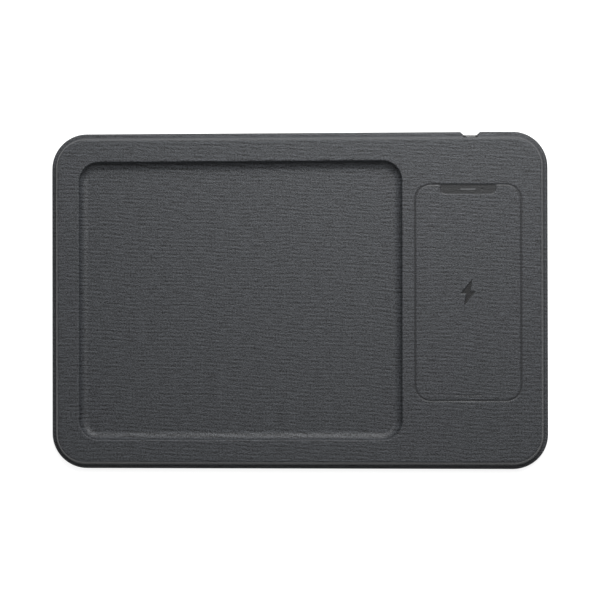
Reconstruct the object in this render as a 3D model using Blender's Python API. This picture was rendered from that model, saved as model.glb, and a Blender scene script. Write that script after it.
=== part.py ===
"""Desk tray with a wireless phone charger: a fabric-covered pad, with a sunk tray on the left and a
phone-sized charging place on the right, fed by a USB-C socket in the back wall.

Frame: origin on the desk under the pad's middle, +X to the right, +Y to the back, +Z up, in metres.
"""

import math

import bmesh
import bpy
from mathutils import Matrix, Vector

MM = 0.001

# Pad outline and heights. The flange is the thin lip that runs round the foot of the pad's wall.
PAD_WIDTH = 328.0 * MM
PAD_DEPTH = 222.0 * MM
PAD_CORNER = 23.2 * MM
FOOT_PROUD = 1.0 * MM
FLANGE_HEIGHT = 3.4 * MM
LEDGE_WIDTH = 2.4 * MM
WALL_LEAN = 2.7 * MM
UNDERSIDE_Z = FOOT_PROUD
LEDGE_Z = UNDERSIDE_Z + FLANGE_HEIGHT

# Walls, and the gaps that are left where one piece rests on or in another
SKIN = 0.7 * MM
GLUE = 0.3 * MM
GAP = 0.3 * MM
SHELL_WALL = 1.8 * MM
SHELL_DEPTH = SKIN + GLUE
SHELL_INSIDE = SHELL_DEPTH + SHELL_WALL
SHELL_FOOT_INSET = 6.4 * MM
SHELL_TOP_INSET = LEDGE_WIDTH + WALL_LEAN + 3.2 * MM
COVER_INSET = SHELL_FOOT_INSET + 0.5 * MM
COVER_THICK = 2.0 * MM
COVER_TOP_Z = UNDERSIDE_Z + COVER_THICK
TURN_IN = COVER_INSET - GAP

# USB-C socket and its bezel. The wall above the flange is just high enough for their hole.
SOCKET_WIDTH = 8.94 * MM
SOCKET_HEIGHT = 3.2 * MM
SOCKET_LENGTH = 7.3 * MM
SOCKET_WALL = 0.3 * MM
SOCKET_ROOM = 0.15 * MM
TONGUE_WIDTH = 6.7 * MM
TONGUE_THICK = 0.7 * MM
TONGUE_SUNK = 1.5 * MM
BEZEL_WALL = 0.65 * MM
HOLE_OFF_LEDGE = 0.15 * MM
HOLE_OFF_ROOF = 0.05 * MM
BEZEL_HEIGHT = SOCKET_HEIGHT + 2 * (SOCKET_ROOM + BEZEL_WALL)
BEZEL_WIDTH = SOCKET_WIDTH + 2 * (SOCKET_ROOM + BEZEL_WALL)
PORT_Z = LEDGE_Z + HOLE_OFF_LEDGE + SOCKET_ROOM + BEZEL_HEIGHT / 2
ROOF_Z = PORT_Z + BEZEL_HEIGHT / 2 + SOCKET_ROOM + HOLE_OFF_ROOF
TOP_Z = ROOF_Z + SHELL_INSIDE

# Rounding of the pad's edges, from the underside to the top face
UNDER_EDGE_R = 0.9 * MM
FLANGE_EDGE_R = 1.3 * MM
CREASE_R = 0.4 * MM
TOP_EDGE_R = 1.2 * MM

# Place for the phone, drawn life size, and set from the pad's right and back edges
PHONE_WIDTH = 69.0 * MM
PHONE_LENGTH = 141.2 * MM
PHONE_CORNER = 10.0 * MM
PHONE_RIGHT_MARGIN = 18.2 * MM
PHONE_BACK_MARGIN = 35.4 * MM
PHONE_X = PAD_WIDTH / 2 - PHONE_RIGHT_MARGIN - PHONE_WIDTH / 2
PHONE_Y = PAD_DEPTH / 2 - PHONE_BACK_MARGIN - PHONE_LENGTH / 2

# Sunk tray: it takes the room that the margins and the phone leave
TRAY_MARGIN = 19.4 * MM
TRAY_TO_PHONE = 8.5 * MM
TRAY_CORNER = 13.0 * MM
TRAY_SINK = 5.0 * MM
TRAY_LEAN = 1.2 * MM
TRAY_RIM_R = 0.8 * MM
TRAY_COVE_R = 5.5 * MM
TRAY_LEFT = -PAD_WIDTH / 2 + TRAY_MARGIN
TRAY_RIGHT = PHONE_X - PHONE_WIDTH / 2 - TRAY_TO_PHONE
TRAY_WIDTH = TRAY_RIGHT - TRAY_LEFT
TRAY_LENGTH = PAD_DEPTH - 2 * TRAY_MARGIN
TRAY_X = (TRAY_LEFT + TRAY_RIGHT) / 2
TRAY_FLOOR_Z = TOP_Z - TRAY_SINK
TRAY_UNDERSIDE_Z = TRAY_FLOOR_Z - SHELL_INSIDE

# Marks pressed into the fabric: the phone's outline, its screen notch, home bar and a bolt
GROOVE_WIDTH = 1.4 * MM
GROOVE_SINK = 0.35 * MM
MARK_SINK = 0.45 * MM
BAR_SINK = 0.2 * MM
NOTCH_WIDTH = 36.7 * MM
NOTCH_LENGTH = 6.2 * MM
NOTCH_CORNER = 3.2 * MM
SLIT_LENGTH = 9.7 * MM
SLIT_WIDTH = 1.0 * MM
SLIT_FROM_EDGE = 3.0 * MM
LENS_R = 0.8 * MM
LENS_SINK = 0.1 * MM
LENS_FROM_MIDDLE = 9.1 * MM
BAR_LENGTH = 19.0 * MM
BAR_WIDTH = 1.2 * MM
BAR_FROM_EDGE = 3.6 * MM
BOLT_TIP = Vector((2.9, 9.4)) * MM
BOLT_SHOULDER = Vector((5.3, 0.9)) * MM
BOLT_WAIST = Vector((1.7, 0.9)) * MM
SLIT_Y = PHONE_Y + PHONE_LENGTH / 2 - SLIT_FROM_EDGE

# Where the socket comes out, and the notch in the flange that a plug's grip passes through
PORT_X = PHONE_X + 2.0 * MM
PLUG_NOTCH_MOUTH = 12.9 * MM
PLUG_NOTCH_FLOOR = 8.2 * MM
PLUG_NOTCH_DEEP = 2.2 * MM
BEZEL_PROUD = 0.15 * MM
SOCKET_SUNK = 0.2 * MM
PORT_INSET = LEDGE_WIDTH + WALL_LEAN * (PORT_Z - LEDGE_Z) / (TOP_Z - LEDGE_Z)
PORT_FACE_Y = PAD_DEPTH / 2 - PORT_INSET + BEZEL_PROUD
SOCKET_FACE_Y = PORT_FACE_Y - SOCKET_SUNK

# Charging coil under the thinned roof, with its ferrite and the carrier that holds both up
COIL_OUTER_R = 22.0 * MM
COIL_INNER_R = 10.25 * MM
COIL_TURNS = 10
COIL_THICK = 1.0 * MM
TURN_GAP = 0.17 * MM
FERRITE_SIDE = 2 * COIL_OUTER_R + 6.0 * MM
FERRITE_CORNER = 12.0 * MM
FERRITE_THICK = 0.8 * MM
FERRITE_SLOT = 2.4 * MM
CARRIER_SIDE = 2 * COIL_OUTER_R + 14.0 * MM
CARRIER_CORNER = 6.0 * MM
CARRIER_THICK = 1.2 * MM
CARRIER_HOLE_R = 8.0 * MM
POCKET_SIDE = CARRIER_SIDE + 2.0 * MM
POCKET_ROOF = 0.9 * MM
POCKET_Z = TOP_Z - SHELL_DEPTH - POCKET_ROOF
COIL_Z = POCKET_Z - GAP - COIL_THICK
FERRITE_Z = COIL_Z - GAP - FERRITE_THICK
CARRIER_Z = FERRITE_Z - GAP - CARRIER_THICK
CARRIER_SCREW_AT = CARRIER_SIDE / 2 - 4.0 * MM
CARRIER_BOSS_R = 2.6 * MM

# Circuit board on the cover's posts, with its back edge just inside the shell's wall
BOARD_WIDTH = 50.0 * MM
BOARD_LENGTH = 38.0 * MM
BOARD_THICK = 1.0 * MM
BOARD_CORNER = 1.5 * MM
BOARD_TO_WALL = 1.3 * MM
BOARD_TOP_Z = PORT_Z - SOCKET_HEIGHT / 2 - GAP
BOARD_Z = BOARD_TOP_Z - BOARD_THICK
BOARD_BACK_Y = PAD_DEPTH / 2 - SHELL_FOOT_INSET - BOARD_TO_WALL
BOARD_Y = BOARD_BACK_Y - BOARD_LENGTH / 2
BOARD_SCREW_INSET = 3.2 * MM
POST_R = 2.5 * MM
CHIPS = {
    "controller_chip": ((-8.0, 3.0), (6.0, 6.0, 0.9)),
    "bridge_chip": ((9.0, 1.0), (5.0, 6.0, 1.0)),
}
INDUCTOR = ((15.0, -8.0), (7.0, 7.0, 3.0))
CAPACITOR_PLACES = ((-18.0, -8.0), (-13.0, -8.0), (-18.0, -3.5), (-13.0, -3.5))
CAPACITOR_SIZE = (3.2, 2.5, 2.2)
THERMAL_PAD_SIDE = 16.0 * MM
PART_Z = BOARD_TOP_Z + GAP

# Screws: those of the case go up through the cover into the shell's bosses, hidden by the feet
CASE_SCREW = {"head_r": 2.3 * MM, "head_h": 1.1 * MM, "shank_r": 1.1 * MM, "length": 5.5 * MM}
SMALL_SCREW = {"head_r": 1.7 * MM, "head_h": 0.8 * MM, "shank_r": 0.8 * MM, "length": 3.0 * MM}
THREAD_ROOM = 0.15 * MM
SCREW_TAPER = 0.8
SCREW_SLOT_REACH = 0.55
SCREW_SLOT_HALF = 0.13
SCREW_SLOT_DEEP = 0.5
CASE_BOSS_R = 3.0 * MM
CASE_PAD_R = 4.0 * MM
HEAD_SEAT_Z = COVER_TOP_Z
CASE_PAD_Z = HEAD_SEAT_Z + 1.2 * MM

# Rubber feet, stuck in shallow round seats that keep a land of the cover outside them
FOOT_R = 6.0 * MM
FOOT_SEAT_DEEP = 0.6 * MM
FOOT_SEAT_R = FOOT_R + 0.3 * MM
FOOT_EDGE_R = 0.4 * MM
FOOT_LAND = 1.2 * MM
MIDDLE_FOOT_INSET = COVER_INSET + FOOT_SEAT_R + FOOT_LAND
CORNER_FOOT_INSET = PAD_CORNER - (PAD_CORNER - MIDDLE_FOOT_INSET) / math.sqrt(2)

# Light guide from the board's lamp up to the slit in the phone's notch
GUIDE_PROUD = 0.15 * MM
GUIDE_ROOM = 0.15 * MM
GUIDE_SHOULDER = Vector((12.0, 3.4)) * MM
GUIDE_SHOULDER_THICK = 1.0 * MM
GUIDE_STEM = Vector((3.0, 2.4)) * MM
LAMP_SIZE = Vector((3.2, 1.6, 0.8)) * MM

# Ribs under the shell's wide flat spans
RIB_THICK = 1.4 * MM
TRAY_RIBS = 5
CHARGER_RIBS = 2
CHARGER_RIB_DROP = 4.5 * MM

# Leads from the coil to the board
LEAD_R = 0.45 * MM
LEAD_POINT_EVERY = 2.4 * MM
LEAD_INSIDE_COIL = 1.2 * MM
LEAD_OVER_COIL = 0.4 * MM
LEAD_DIVE = 0.6 * MM
LEAD_OFF_COIL = 0.3 * MM
LEAD_PAST_FERRITE = 3.0 * MM
LEADS_APART = 3.0 * MM
LEAD_SPREAD = 7.0 * MM
LEAD_BEFORE_BOARD = 2.0 * MM
LEAD_RISE = 0.6 * MM
LEAD_ON_BOARD = 3.2 * MM

# How finely round shapes are cut
CORNER_STEPS = 5
FILLET_STEPS = 2
COVE_STEPS = 4
ROUND_SIDES = 10
FOOT_SIDES = 20
COIL_STEPS_PER_TURN = 16
CUT_PAST = 2.0 * MM
JOIN = 0.5 * MM
SLIVER = 0.01 * MM
LEAST_RADIUS = 0.1 * MM


def clear_scene():
    for thing in list(bpy.data.objects):
        bpy.data.objects.remove(thing)


def finish(name, colour, roughness, metallic=0.0):
    """A plain material for one kind of piece."""
    material = bpy.data.materials.new(name)
    material.use_nodes = True
    shader = material.node_tree.nodes["Principled BSDF"]
    shader.inputs["Base Color"].default_value = (*colour, 1.0)
    shader.inputs["Roughness"].default_value = roughness
    shader.inputs["Metallic"].default_value = metallic
    return material


# ---------------------------------------------------------------- outlines and solids


def rounded_rectangle(width, length, corner, middle=(0.0, 0.0)):
    """Points round a rectangle with rounded corners, anticlockwise from the right side's front."""
    points = []
    for quarter in range(4):
        turn = quarter * math.pi / 2
        across = (width / 2 - corner) * (1 if quarter in (0, 3) else -1)
        along = (length / 2 - corner) * (1 if quarter in (0, 1) else -1)
        for step in range(CORNER_STEPS + 1):
            angle = turn + step * math.pi / 2 / CORNER_STEPS
            x = middle[0] + across + corner * math.cos(angle)
            y = middle[1] + along + corner * math.sin(angle)
            points.append(Vector((x, y)))
    return points


def circle(radius, sides, middle=(0.0, 0.0)):
    turn = 2 * math.pi / sides
    arms = [Vector((math.cos(k * turn), math.sin(k * turn))) for k in range(sides)]
    return [Vector(middle) + arm * radius for arm in arms]


def at_height(outline, z):
    return [Vector((point.x, point.y, z)) for point in outline]


def solid(name, loops, material=None, ring=False):
    """A body whose skin joins loops of points in turn. Its ends are capped, or joined on a ring."""
    mesh = bpy.data.meshes.new(name)
    body = bmesh.new()
    rows = [[body.verts.new(point) for point in loop] for loop in loops]
    pairs = list(zip(rows, rows[1:]))
    if ring:
        pairs.append((rows[-1], rows[0]))
    for low, high in pairs:
        for k in range(len(low)):
            following = (k + 1) % len(low)
            body.faces.new((low[k], low[following], high[following], high[k]))
    if not ring:
        body.faces.new(list(reversed(rows[0])))
        body.faces.new(rows[-1])
    bmesh.ops.recalc_face_normals(body, faces=body.faces)
    body.to_mesh(mesh)
    body.free()
    return placed(name, mesh, material)


def placed(name, mesh, material=None):
    thing = bpy.data.objects.new(name, mesh)
    bpy.context.scene.collection.objects.link(thing)
    if material is not None and not mesh.materials:
        mesh.materials.append(material)
    mesh.shade_smooth()
    mesh.set_sharp_from_angle(angle=math.radians(35))
    return thing


def prism(name, outline, low_z, high_z, material=None):
    return solid(name, [at_height(outline, low_z), at_height(outline, high_z)], material)


def block(name, middle, size, low_z, high_z, material=None):
    """A plain box of the given size in X and Y."""
    signs = ((1, 1), (-1, 1), (-1, -1), (1, -1))
    outline = [Vector(middle) + Vector((sx * size[0] / 2, sy * size[1] / 2)) for sx, sy in signs]
    return prism(name, outline, low_z, high_z, material)


def turned(name, profile, sides, middle=(0.0, 0.0), material=None):
    """A round body from (radius, z) steps, from its lower end up."""
    loops = [at_height(circle(radius, sides, middle), z) for radius, z in profile]
    return solid(name, loops, material)


def joined(name, things):
    """Several helper bodies as one object, so that one Boolean adds or cuts them all."""
    body = bmesh.new()
    for thing in things:
        body.from_mesh(thing.data)
        bpy.data.objects.remove(thing)
    mesh = bpy.data.meshes.new(name)
    body.to_mesh(mesh)
    body.free()
    return placed(name, mesh)


def boolean(target, helper, operation):
    """Adds or cuts the helper, which isn't a part of the object."""
    helper.hide_render = True
    helper.display_type = "WIRE"
    modifier = target.modifiers.new(helper.name, "BOOLEAN")
    modifier.operation = operation
    modifier.object = helper


# ---------------------------------------------------------------- the pad's cross-section


def moved_in(corners, depth):
    """A polyline moved sideways by depth into the material, which is on its right."""
    sides = []
    for start, end in zip(corners, corners[1:]):
        along = (end - start).normalized()
        inward = Vector((along.y, -along.x)) * depth
        sides.append((start + inward, end + inward))
    moved = [sides[0][0]]
    for (a, b), (c, d) in zip(sides, sides[1:]):
        first, second = b - a, d - c
        share = (c - a).cross(second) / first.cross(second)
        moved.append(a + first * share)
    moved.append(sides[-1][1])
    return moved


def filleted(corners, radii, steps):
    """The polyline's inner corners as arcs. Radii shrink where a side is too short for its two arcs."""
    arms = [
        ((a - b).normalized(), (c - b).normalized())
        for a, b, c in zip(corners, corners[1:], corners[2:])
    ]
    halves = [u.angle(v) / 2 for u, v in arms]
    reach = [radius / math.tan(half) for radius, half in zip(radii, halves)]
    for k in range(len(reach) - 1):
        room = 0.95 * (corners[k + 2] - corners[k + 1]).length
        share = min(1.0, room / (reach[k] + reach[k + 1]))
        reach[k] *= share
        reach[k + 1] *= share
    points = []
    for corner, (u, v), half, length, count in zip(corners[1:], arms, halves, reach, steps):
        radius = length * math.tan(half)
        centre = corner + (u + v).normalized() * radius / math.sin(half)
        start = corner + u * length - centre
        turn = math.pi - 2 * half
        if start.cross(corner + v * length - centre) < 0:
            turn = -turn
        for step in range(count + 1):
            angle = turn * step / count
            arm = Vector((
                start.x * math.cos(angle) - start.y * math.sin(angle),
                start.x * math.sin(angle) + start.y * math.cos(angle),
            ))
            points.append(centre + arm)
    return points


def radius_at(radius, depth, hollow=False):
    """An edge's radius, depth below the surface: a hollow edge's grows, a round edge's shrinks."""
    return radius + depth if hollow else max(radius - depth, LEAST_RADIUS)


def wall_section(depth):
    """(inset, z) points of the pad's outside, from the underside to the top face, depth below it."""
    top_inset = LEDGE_WIDTH + WALL_LEAN
    corners = [
        Vector((SHELL_FOOT_INSET, UNDERSIDE_Z)),
        Vector((0.0, UNDERSIDE_Z)),
        Vector((0.0, LEDGE_Z)),
        Vector((LEDGE_WIDTH, LEDGE_Z)),
        Vector((top_inset, TOP_Z)),
        Vector((top_inset + PAD_CORNER, TOP_Z)),
    ]
    radii = [
        radius_at(UNDER_EDGE_R, depth),
        radius_at(FLANGE_EDGE_R, depth),
        radius_at(CREASE_R, depth, hollow=True),
        radius_at(TOP_EDGE_R, depth),
    ]
    return filleted(moved_in(corners, depth), radii, [FILLET_STEPS, FILLET_STEPS, 1, FILLET_STEPS])


def tray_section(depth):
    """(inset, z) points of the tray's rim and wall, from the top face to the floor, depth below it."""
    corners = [
        Vector((-TRAY_CORNER, TOP_Z)),
        Vector((0.0, TOP_Z)),
        Vector((TRAY_LEAN, TRAY_FLOOR_Z)),
        Vector((TRAY_CORNER, TRAY_FLOOR_Z)),
    ]
    radii = [radius_at(TRAY_RIM_R, depth), radius_at(TRAY_COVE_R, depth, hollow=True)]
    return filleted(moved_in(corners, depth), radii, [FILLET_STEPS, COVE_STEPS])


def pad_loop(inset, z):
    outline = rounded_rectangle(PAD_WIDTH - 2 * inset, PAD_DEPTH - 2 * inset, PAD_CORNER - inset)
    return at_height(outline, z)


def tray_loop(inset, z):
    middle = (TRAY_X, 0.0)
    width, length = TRAY_WIDTH - 2 * inset, TRAY_LENGTH - 2 * inset
    return at_height(rounded_rectangle(width, length, TRAY_CORNER - inset, middle), z)


def surface_loops(depth):
    """Loops over the pad, from the underside's edge over the top face to the tray's floor."""
    return [pad_loop(*point) for point in wall_section(depth)] + [
        tray_loop(*point) for point in tray_section(depth)
    ]


# ---------------------------------------------------------------- holes shared by skin and shell


def port_outline(width, height):
    """A socket-shaped outline with round ends, seen from the back, as (x, z) points."""
    return rounded_rectangle(width, height, height / 2 - SLIVER, (PORT_X, PORT_Z))


def along_y(outline, y):
    return [Vector((point.x, y, point.y)) for point in outline]


def port_cutter(name):
    outline = port_outline(BEZEL_WIDTH + 2 * SOCKET_ROOM, BEZEL_HEIGHT + 2 * SOCKET_ROOM)
    inner_y = PAD_DEPTH / 2 - SHELL_TOP_INSET - CUT_PAST
    return solid(name, [along_y(outline, inner_y), along_y(outline, PAD_DEPTH / 2 + CUT_PAST)])


def plug_notch_cutter(name):
    """A notch through the flange whose sides splay outwards, carried on past the flange's edge."""
    floor_y = PAD_DEPTH / 2 - PLUG_NOTCH_DEEP
    splay = (PLUG_NOTCH_MOUTH - PLUG_NOTCH_FLOOR) / 2 * (1 + CUT_PAST / PLUG_NOTCH_DEEP)
    mouth = PLUG_NOTCH_FLOOR / 2 + splay
    outer_y = PAD_DEPTH / 2 + CUT_PAST
    outline = [
        Vector((PORT_X - PLUG_NOTCH_FLOOR / 2, floor_y)),
        Vector((PORT_X + PLUG_NOTCH_FLOOR / 2, floor_y)),
        Vector((PORT_X + mouth, outer_y)),
        Vector((PORT_X - mouth, outer_y)),
    ]
    return prism(name, outline, UNDERSIDE_Z - CUT_PAST, LEDGE_Z + JOIN)


def slit_cutter(name):
    size = (SLIT_LENGTH + 2 * GUIDE_ROOM, SLIT_WIDTH + 2 * GUIDE_ROOM)
    return block(name, (PHONE_X, SLIT_Y), size, ROOF_Z - CUT_PAST, TOP_Z + CUT_PAST)


# ---------------------------------------------------------------- fabric skin


def phone_outline_cutter():
    """A ring that presses the phone's outline into the fabric."""
    low, high = TOP_Z - GROOVE_SINK, TOP_Z + CUT_PAST
    middle = (PHONE_X, PHONE_Y)
    loops = []
    for grow, z in ((1, high), (1, low), (-1, low), (-1, high)):
        width, length = PHONE_WIDTH + grow * GROOVE_WIDTH, PHONE_LENGTH + grow * GROOVE_WIDTH
        corner = PHONE_CORNER + grow * GROOVE_WIDTH / 2
        loops.append(at_height(rounded_rectangle(width, length, corner, middle), z))
    return solid("press_outline", loops, ring=True)


def notch_cutter():
    """The screen notch: square at the phone's edge, with rounded corners towards its middle."""
    edge_y = PHONE_Y + PHONE_LENGTH / 2
    corner_y = edge_y - NOTCH_LENGTH + NOTCH_CORNER
    corner_x = NOTCH_WIDTH / 2 - NOTCH_CORNER
    half = NOTCH_WIDTH / 2
    outline = [Vector((PHONE_X + half, edge_y)), Vector((PHONE_X - half, edge_y))]
    for side, start in ((-1, math.pi), (1, 1.5 * math.pi)):
        for step in range(CORNER_STEPS + 1):
            angle = start + step * math.pi / 2 / CORNER_STEPS
            arm = Vector((math.cos(angle), math.sin(angle))) * NOTCH_CORNER
            outline.append(Vector((PHONE_X + side * corner_x, corner_y)) + arm)
    return prism("press_notch", outline, TOP_Z - MARK_SINK, TOP_Z + CUT_PAST)


def lens_cutter():
    outline = circle(LENS_R, ROUND_SIDES, (PHONE_X + LENS_FROM_MIDDLE, SLIT_Y))
    return prism("press_lens", outline, TOP_Z - MARK_SINK - LENS_SINK, TOP_Z + CUT_PAST)


def home_bar_cutter():
    middle = (PHONE_X, PHONE_Y - PHONE_LENGTH / 2 + BAR_FROM_EDGE)
    outline = rounded_rectangle(BAR_LENGTH, BAR_WIDTH, BAR_WIDTH / 2 - SLIVER, middle)
    return prism("press_bar", outline, TOP_Z - BAR_SINK, TOP_Z + CUT_PAST)


def bolt_cutter():
    """A lightning bolt: one half, and the same half turned by half a turn."""
    half = [BOLT_TIP, -BOLT_SHOULDER, -BOLT_WAIST]
    middle = Vector((PHONE_X, PHONE_Y))
    outline = [middle + sign * point for sign in (1, -1) for point in half]
    return prism("press_bolt", outline, TOP_Z - MARK_SINK, TOP_Z + CUT_PAST)


def make_fabric_skin(material):
    """One pressed sheet over the tray, top, wall and flange, with its edge turned in underneath."""
    inside = surface_loops(SKIN)
    outside = surface_loops(0.0)
    edge = [pad_loop(TURN_IN, UNDERSIDE_Z + SKIN), pad_loop(TURN_IN, UNDERSIDE_Z)]
    skin = solid("fabric_skin", inside[::-1] + edge + outside, material)
    cutters = [
        phone_outline_cutter(),
        notch_cutter(),
        lens_cutter(),
        home_bar_cutter(),
        bolt_cutter(),
        slit_cutter("skin_slit"),
        port_cutter("skin_port"),
        plug_notch_cutter("skin_plug_notch"),
    ]
    for cutter in cutters:
        boolean(skin, cutter, "DIFFERENCE")


# ---------------------------------------------------------------- shell and cover


def case_screw_places():
    corner_x = PAD_WIDTH / 2 - CORNER_FOOT_INSET
    corner_y = PAD_DEPTH / 2 - CORNER_FOOT_INSET
    middle_y = PAD_DEPTH / 2 - MIDDLE_FOOT_INSET
    return {
        "front_left": (-corner_x, -corner_y),
        "front_middle": (0.0, -middle_y),
        "front_right": (corner_x, -corner_y),
        "back_left": (-corner_x, corner_y),
        "back_middle": (0.0, middle_y),
        "back_right": (corner_x, corner_y),
    }


def carrier_screw_places():
    at = CARRIER_SCREW_AT
    return [(PHONE_X + sx * at, PHONE_Y + sy * at) for sx, sy in ((-1, -1), (1, -1), (1, 1), (-1, 1))]


def board_screw_places():
    x = BOARD_WIDTH / 2 - BOARD_SCREW_INSET
    y = BOARD_LENGTH / 2 - BOARD_SCREW_INSET
    return [(PORT_X + sx * x, BOARD_Y + sy * y) for sx, sy in ((-1, -1), (1, -1), (1, 1), (-1, 1))]


def shell_additions():
    """Screw bosses and ribs that hang from the shell's roof and from under the tray."""
    made = []
    boss_foot = CASE_PAD_Z + GAP
    for place in case_screw_places().values():
        profile = [(CASE_BOSS_R, boss_foot), (CASE_BOSS_R, ROOF_Z + JOIN)]
        made.append(turned("boss", profile, ROUND_SIDES, place))
    rib_foot = COVER_TOP_Z + GAP
    rib_length = TRAY_LENGTH - 2 * TRAY_CORNER
    for k in range(TRAY_RIBS):
        x = TRAY_LEFT + TRAY_WIDTH * (k + 1) / (TRAY_RIBS + 1)
        rib = block("rib", (x, 0.0), (RIB_THICK, rib_length), rib_foot, TRAY_UNDERSIDE_Z + JOIN)
        made.append(rib)
    left = TRAY_RIGHT + SHELL_WALL
    right = PAD_WIDTH / 2 - SHELL_TOP_INSET + JOIN
    front = SHELL_TOP_INSET - PAD_DEPTH / 2
    back = PHONE_Y - POCKET_SIDE / 2
    size = (right - left, RIB_THICK)
    for k in range(CHARGER_RIBS):
        middle = ((left + right) / 2, front + (back - front) * (k + 1) / (CHARGER_RIBS + 1))
        made.append(block("rib", middle, size, ROOF_Z - CHARGER_RIB_DROP, ROOF_Z + JOIN))
    return joined("shell_bosses_and_ribs", made)


def carrier_bosses():
    foot = CARRIER_Z + CARRIER_THICK + GAP
    profile = [(CARRIER_BOSS_R, foot), (CARRIER_BOSS_R, POCKET_Z + JOIN)]
    bosses = [turned("boss", profile, ROUND_SIDES, place) for place in carrier_screw_places()]
    return joined("carrier_bosses", bosses)


def pilot_holes():
    """Blind holes that the case and carrier screws cut their threads in."""
    made = []
    case_r = CASE_SCREW["shank_r"] + THREAD_ROOM
    case_top = HEAD_SEAT_Z + CASE_SCREW["length"] + THREAD_ROOM
    for place in case_screw_places().values():
        made.append(turned("hole", [(case_r, 0.0), (case_r, case_top)], ROUND_SIDES, place))
    small_r = SMALL_SCREW["shank_r"] + THREAD_ROOM
    small_top = CARRIER_Z + SMALL_SCREW["length"] + THREAD_ROOM
    for place in carrier_screw_places():
        made.append(turned("hole", [(small_r, 0.0), (small_r, small_top)], ROUND_SIDES, place))
    return joined("pilot_holes", made)


def make_upper_shell(material):
    """The moulded tray under the fabric. It is open below, where the cover closes it."""
    hollow_top = [
        pad_loop(SHELL_TOP_INSET, ROOF_Z),
        pad_loop(SHELL_FOOT_INSET, UNDERSIDE_Z + SHELL_DEPTH),
    ]
    under_tray = [tray_loop(*point) for point in tray_section(SHELL_INSIDE)]
    shell = solid("upper_shell", under_tray[::-1] + hollow_top + surface_loops(SHELL_DEPTH), material)
    boolean(shell, shell_additions(), "UNION")
    pocket = rounded_rectangle(POCKET_SIDE, POCKET_SIDE, CARRIER_CORNER, (PHONE_X, PHONE_Y))
    boolean(shell, prism("coil_pocket", pocket, ROOF_Z - JOIN, POCKET_Z), "DIFFERENCE")
    boolean(shell, carrier_bosses(), "UNION")
    for cutter in (
        pilot_holes(),
        slit_cutter("shell_slit"),
        port_cutter("shell_port"),
        plug_notch_cutter("shell_plug_notch"),
    ):
        boolean(shell, cutter, "DIFFERENCE")


def make_bottom_cover(material):
    """The flat cover, with seats for the feet and screw heads, and posts for the circuit board."""
    width, length = PAD_WIDTH - 2 * COVER_INSET, PAD_DEPTH - 2 * COVER_INSET
    outline = rounded_rectangle(width, length, PAD_CORNER - COVER_INSET)
    cover = prism("bottom_cover", outline, UNDERSIDE_Z, COVER_TOP_Z, material)
    raised, seats, holes = [], [], []
    low = COVER_TOP_Z - JOIN
    head_r = CASE_SCREW["head_r"] + THREAD_ROOM
    shank_r = CASE_SCREW["shank_r"] + THREAD_ROOM
    seat_z = UNDERSIDE_Z + FOOT_SEAT_DEEP
    seat = [(FOOT_SEAT_R, 0.0), (FOOT_SEAT_R, seat_z)]
    screw_way = [(head_r, seat_z - JOIN), (head_r, HEAD_SEAT_Z)]
    screw_way += [(shank_r, HEAD_SEAT_Z), (shank_r, CASE_PAD_Z + CUT_PAST)]
    for place in case_screw_places().values():
        raised.append(turned("pad", [(CASE_PAD_R, low), (CASE_PAD_R, CASE_PAD_Z)], ROUND_SIDES, place))
        seats.append(turned("seat", seat, FOOT_SIDES, place))
        holes.append(turned("hole", screw_way, ROUND_SIDES, place))
    pilot_r = SMALL_SCREW["shank_r"] + THREAD_ROOM
    pilot_low = BOARD_TOP_Z + GAP - SMALL_SCREW["length"] - THREAD_ROOM
    for place in board_screw_places():
        raised.append(turned("post", [(POST_R, low), (POST_R, BOARD_Z - GAP)], ROUND_SIDES, place))
        holes.append(turned("hole", [(pilot_r, pilot_low), (pilot_r, BOARD_TOP_Z)], ROUND_SIDES, place))
    boolean(cover, joined("cover_pads_and_posts", raised), "UNION")
    boolean(cover, joined("foot_seats", seats), "DIFFERENCE")
    boolean(cover, joined("cover_holes", holes), "DIFFERENCE")


def make_feet(material):
    low, high = 0.0, UNDERSIDE_Z + FOOT_SEAT_DEEP - GAP
    profile = [(FOOT_R - FOOT_EDGE_R, low), (FOOT_R, low + FOOT_EDGE_R), (FOOT_R, high)]
    for name, place in case_screw_places().items():
        turned("foot_" + name, profile, FOOT_SIDES, place, material)


def screw_mesh(name, sizes, material):
    """A pan-head screw with a cross slot, pointing up. Its head bears on z = 0."""
    head_r, head_h, shank_r, length = (sizes[key] for key in ("head_r", "head_h", "shank_r", "length"))
    profile = [
        (SCREW_TAPER * head_r, -head_h), (head_r, 0.0), (shank_r, 0.0), (SCREW_TAPER * shank_r, length),
    ]
    screw = turned(name, profile, ROUND_SIDES, material=material)
    arm, half = SCREW_SLOT_REACH * head_r, SCREW_SLOT_HALF * head_r
    cross = [Vector((arm, half)), Vector((half, half)), Vector((half, arm))]
    outline = [Matrix.Rotation(k * math.pi / 2, 2) @ point for k in range(4) for point in cross]
    slot = prism(name + "_slot", outline, -head_h - CUT_PAST, -SCREW_SLOT_DEEP * head_h)
    boolean(screw, slot, "DIFFERENCE")
    graph = bpy.context.evaluated_depsgraph_get()
    mesh = bpy.data.meshes.new_from_object(screw.evaluated_get(graph))
    for helper in (screw, slot):
        bpy.data.objects.remove(helper)
    return mesh


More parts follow.
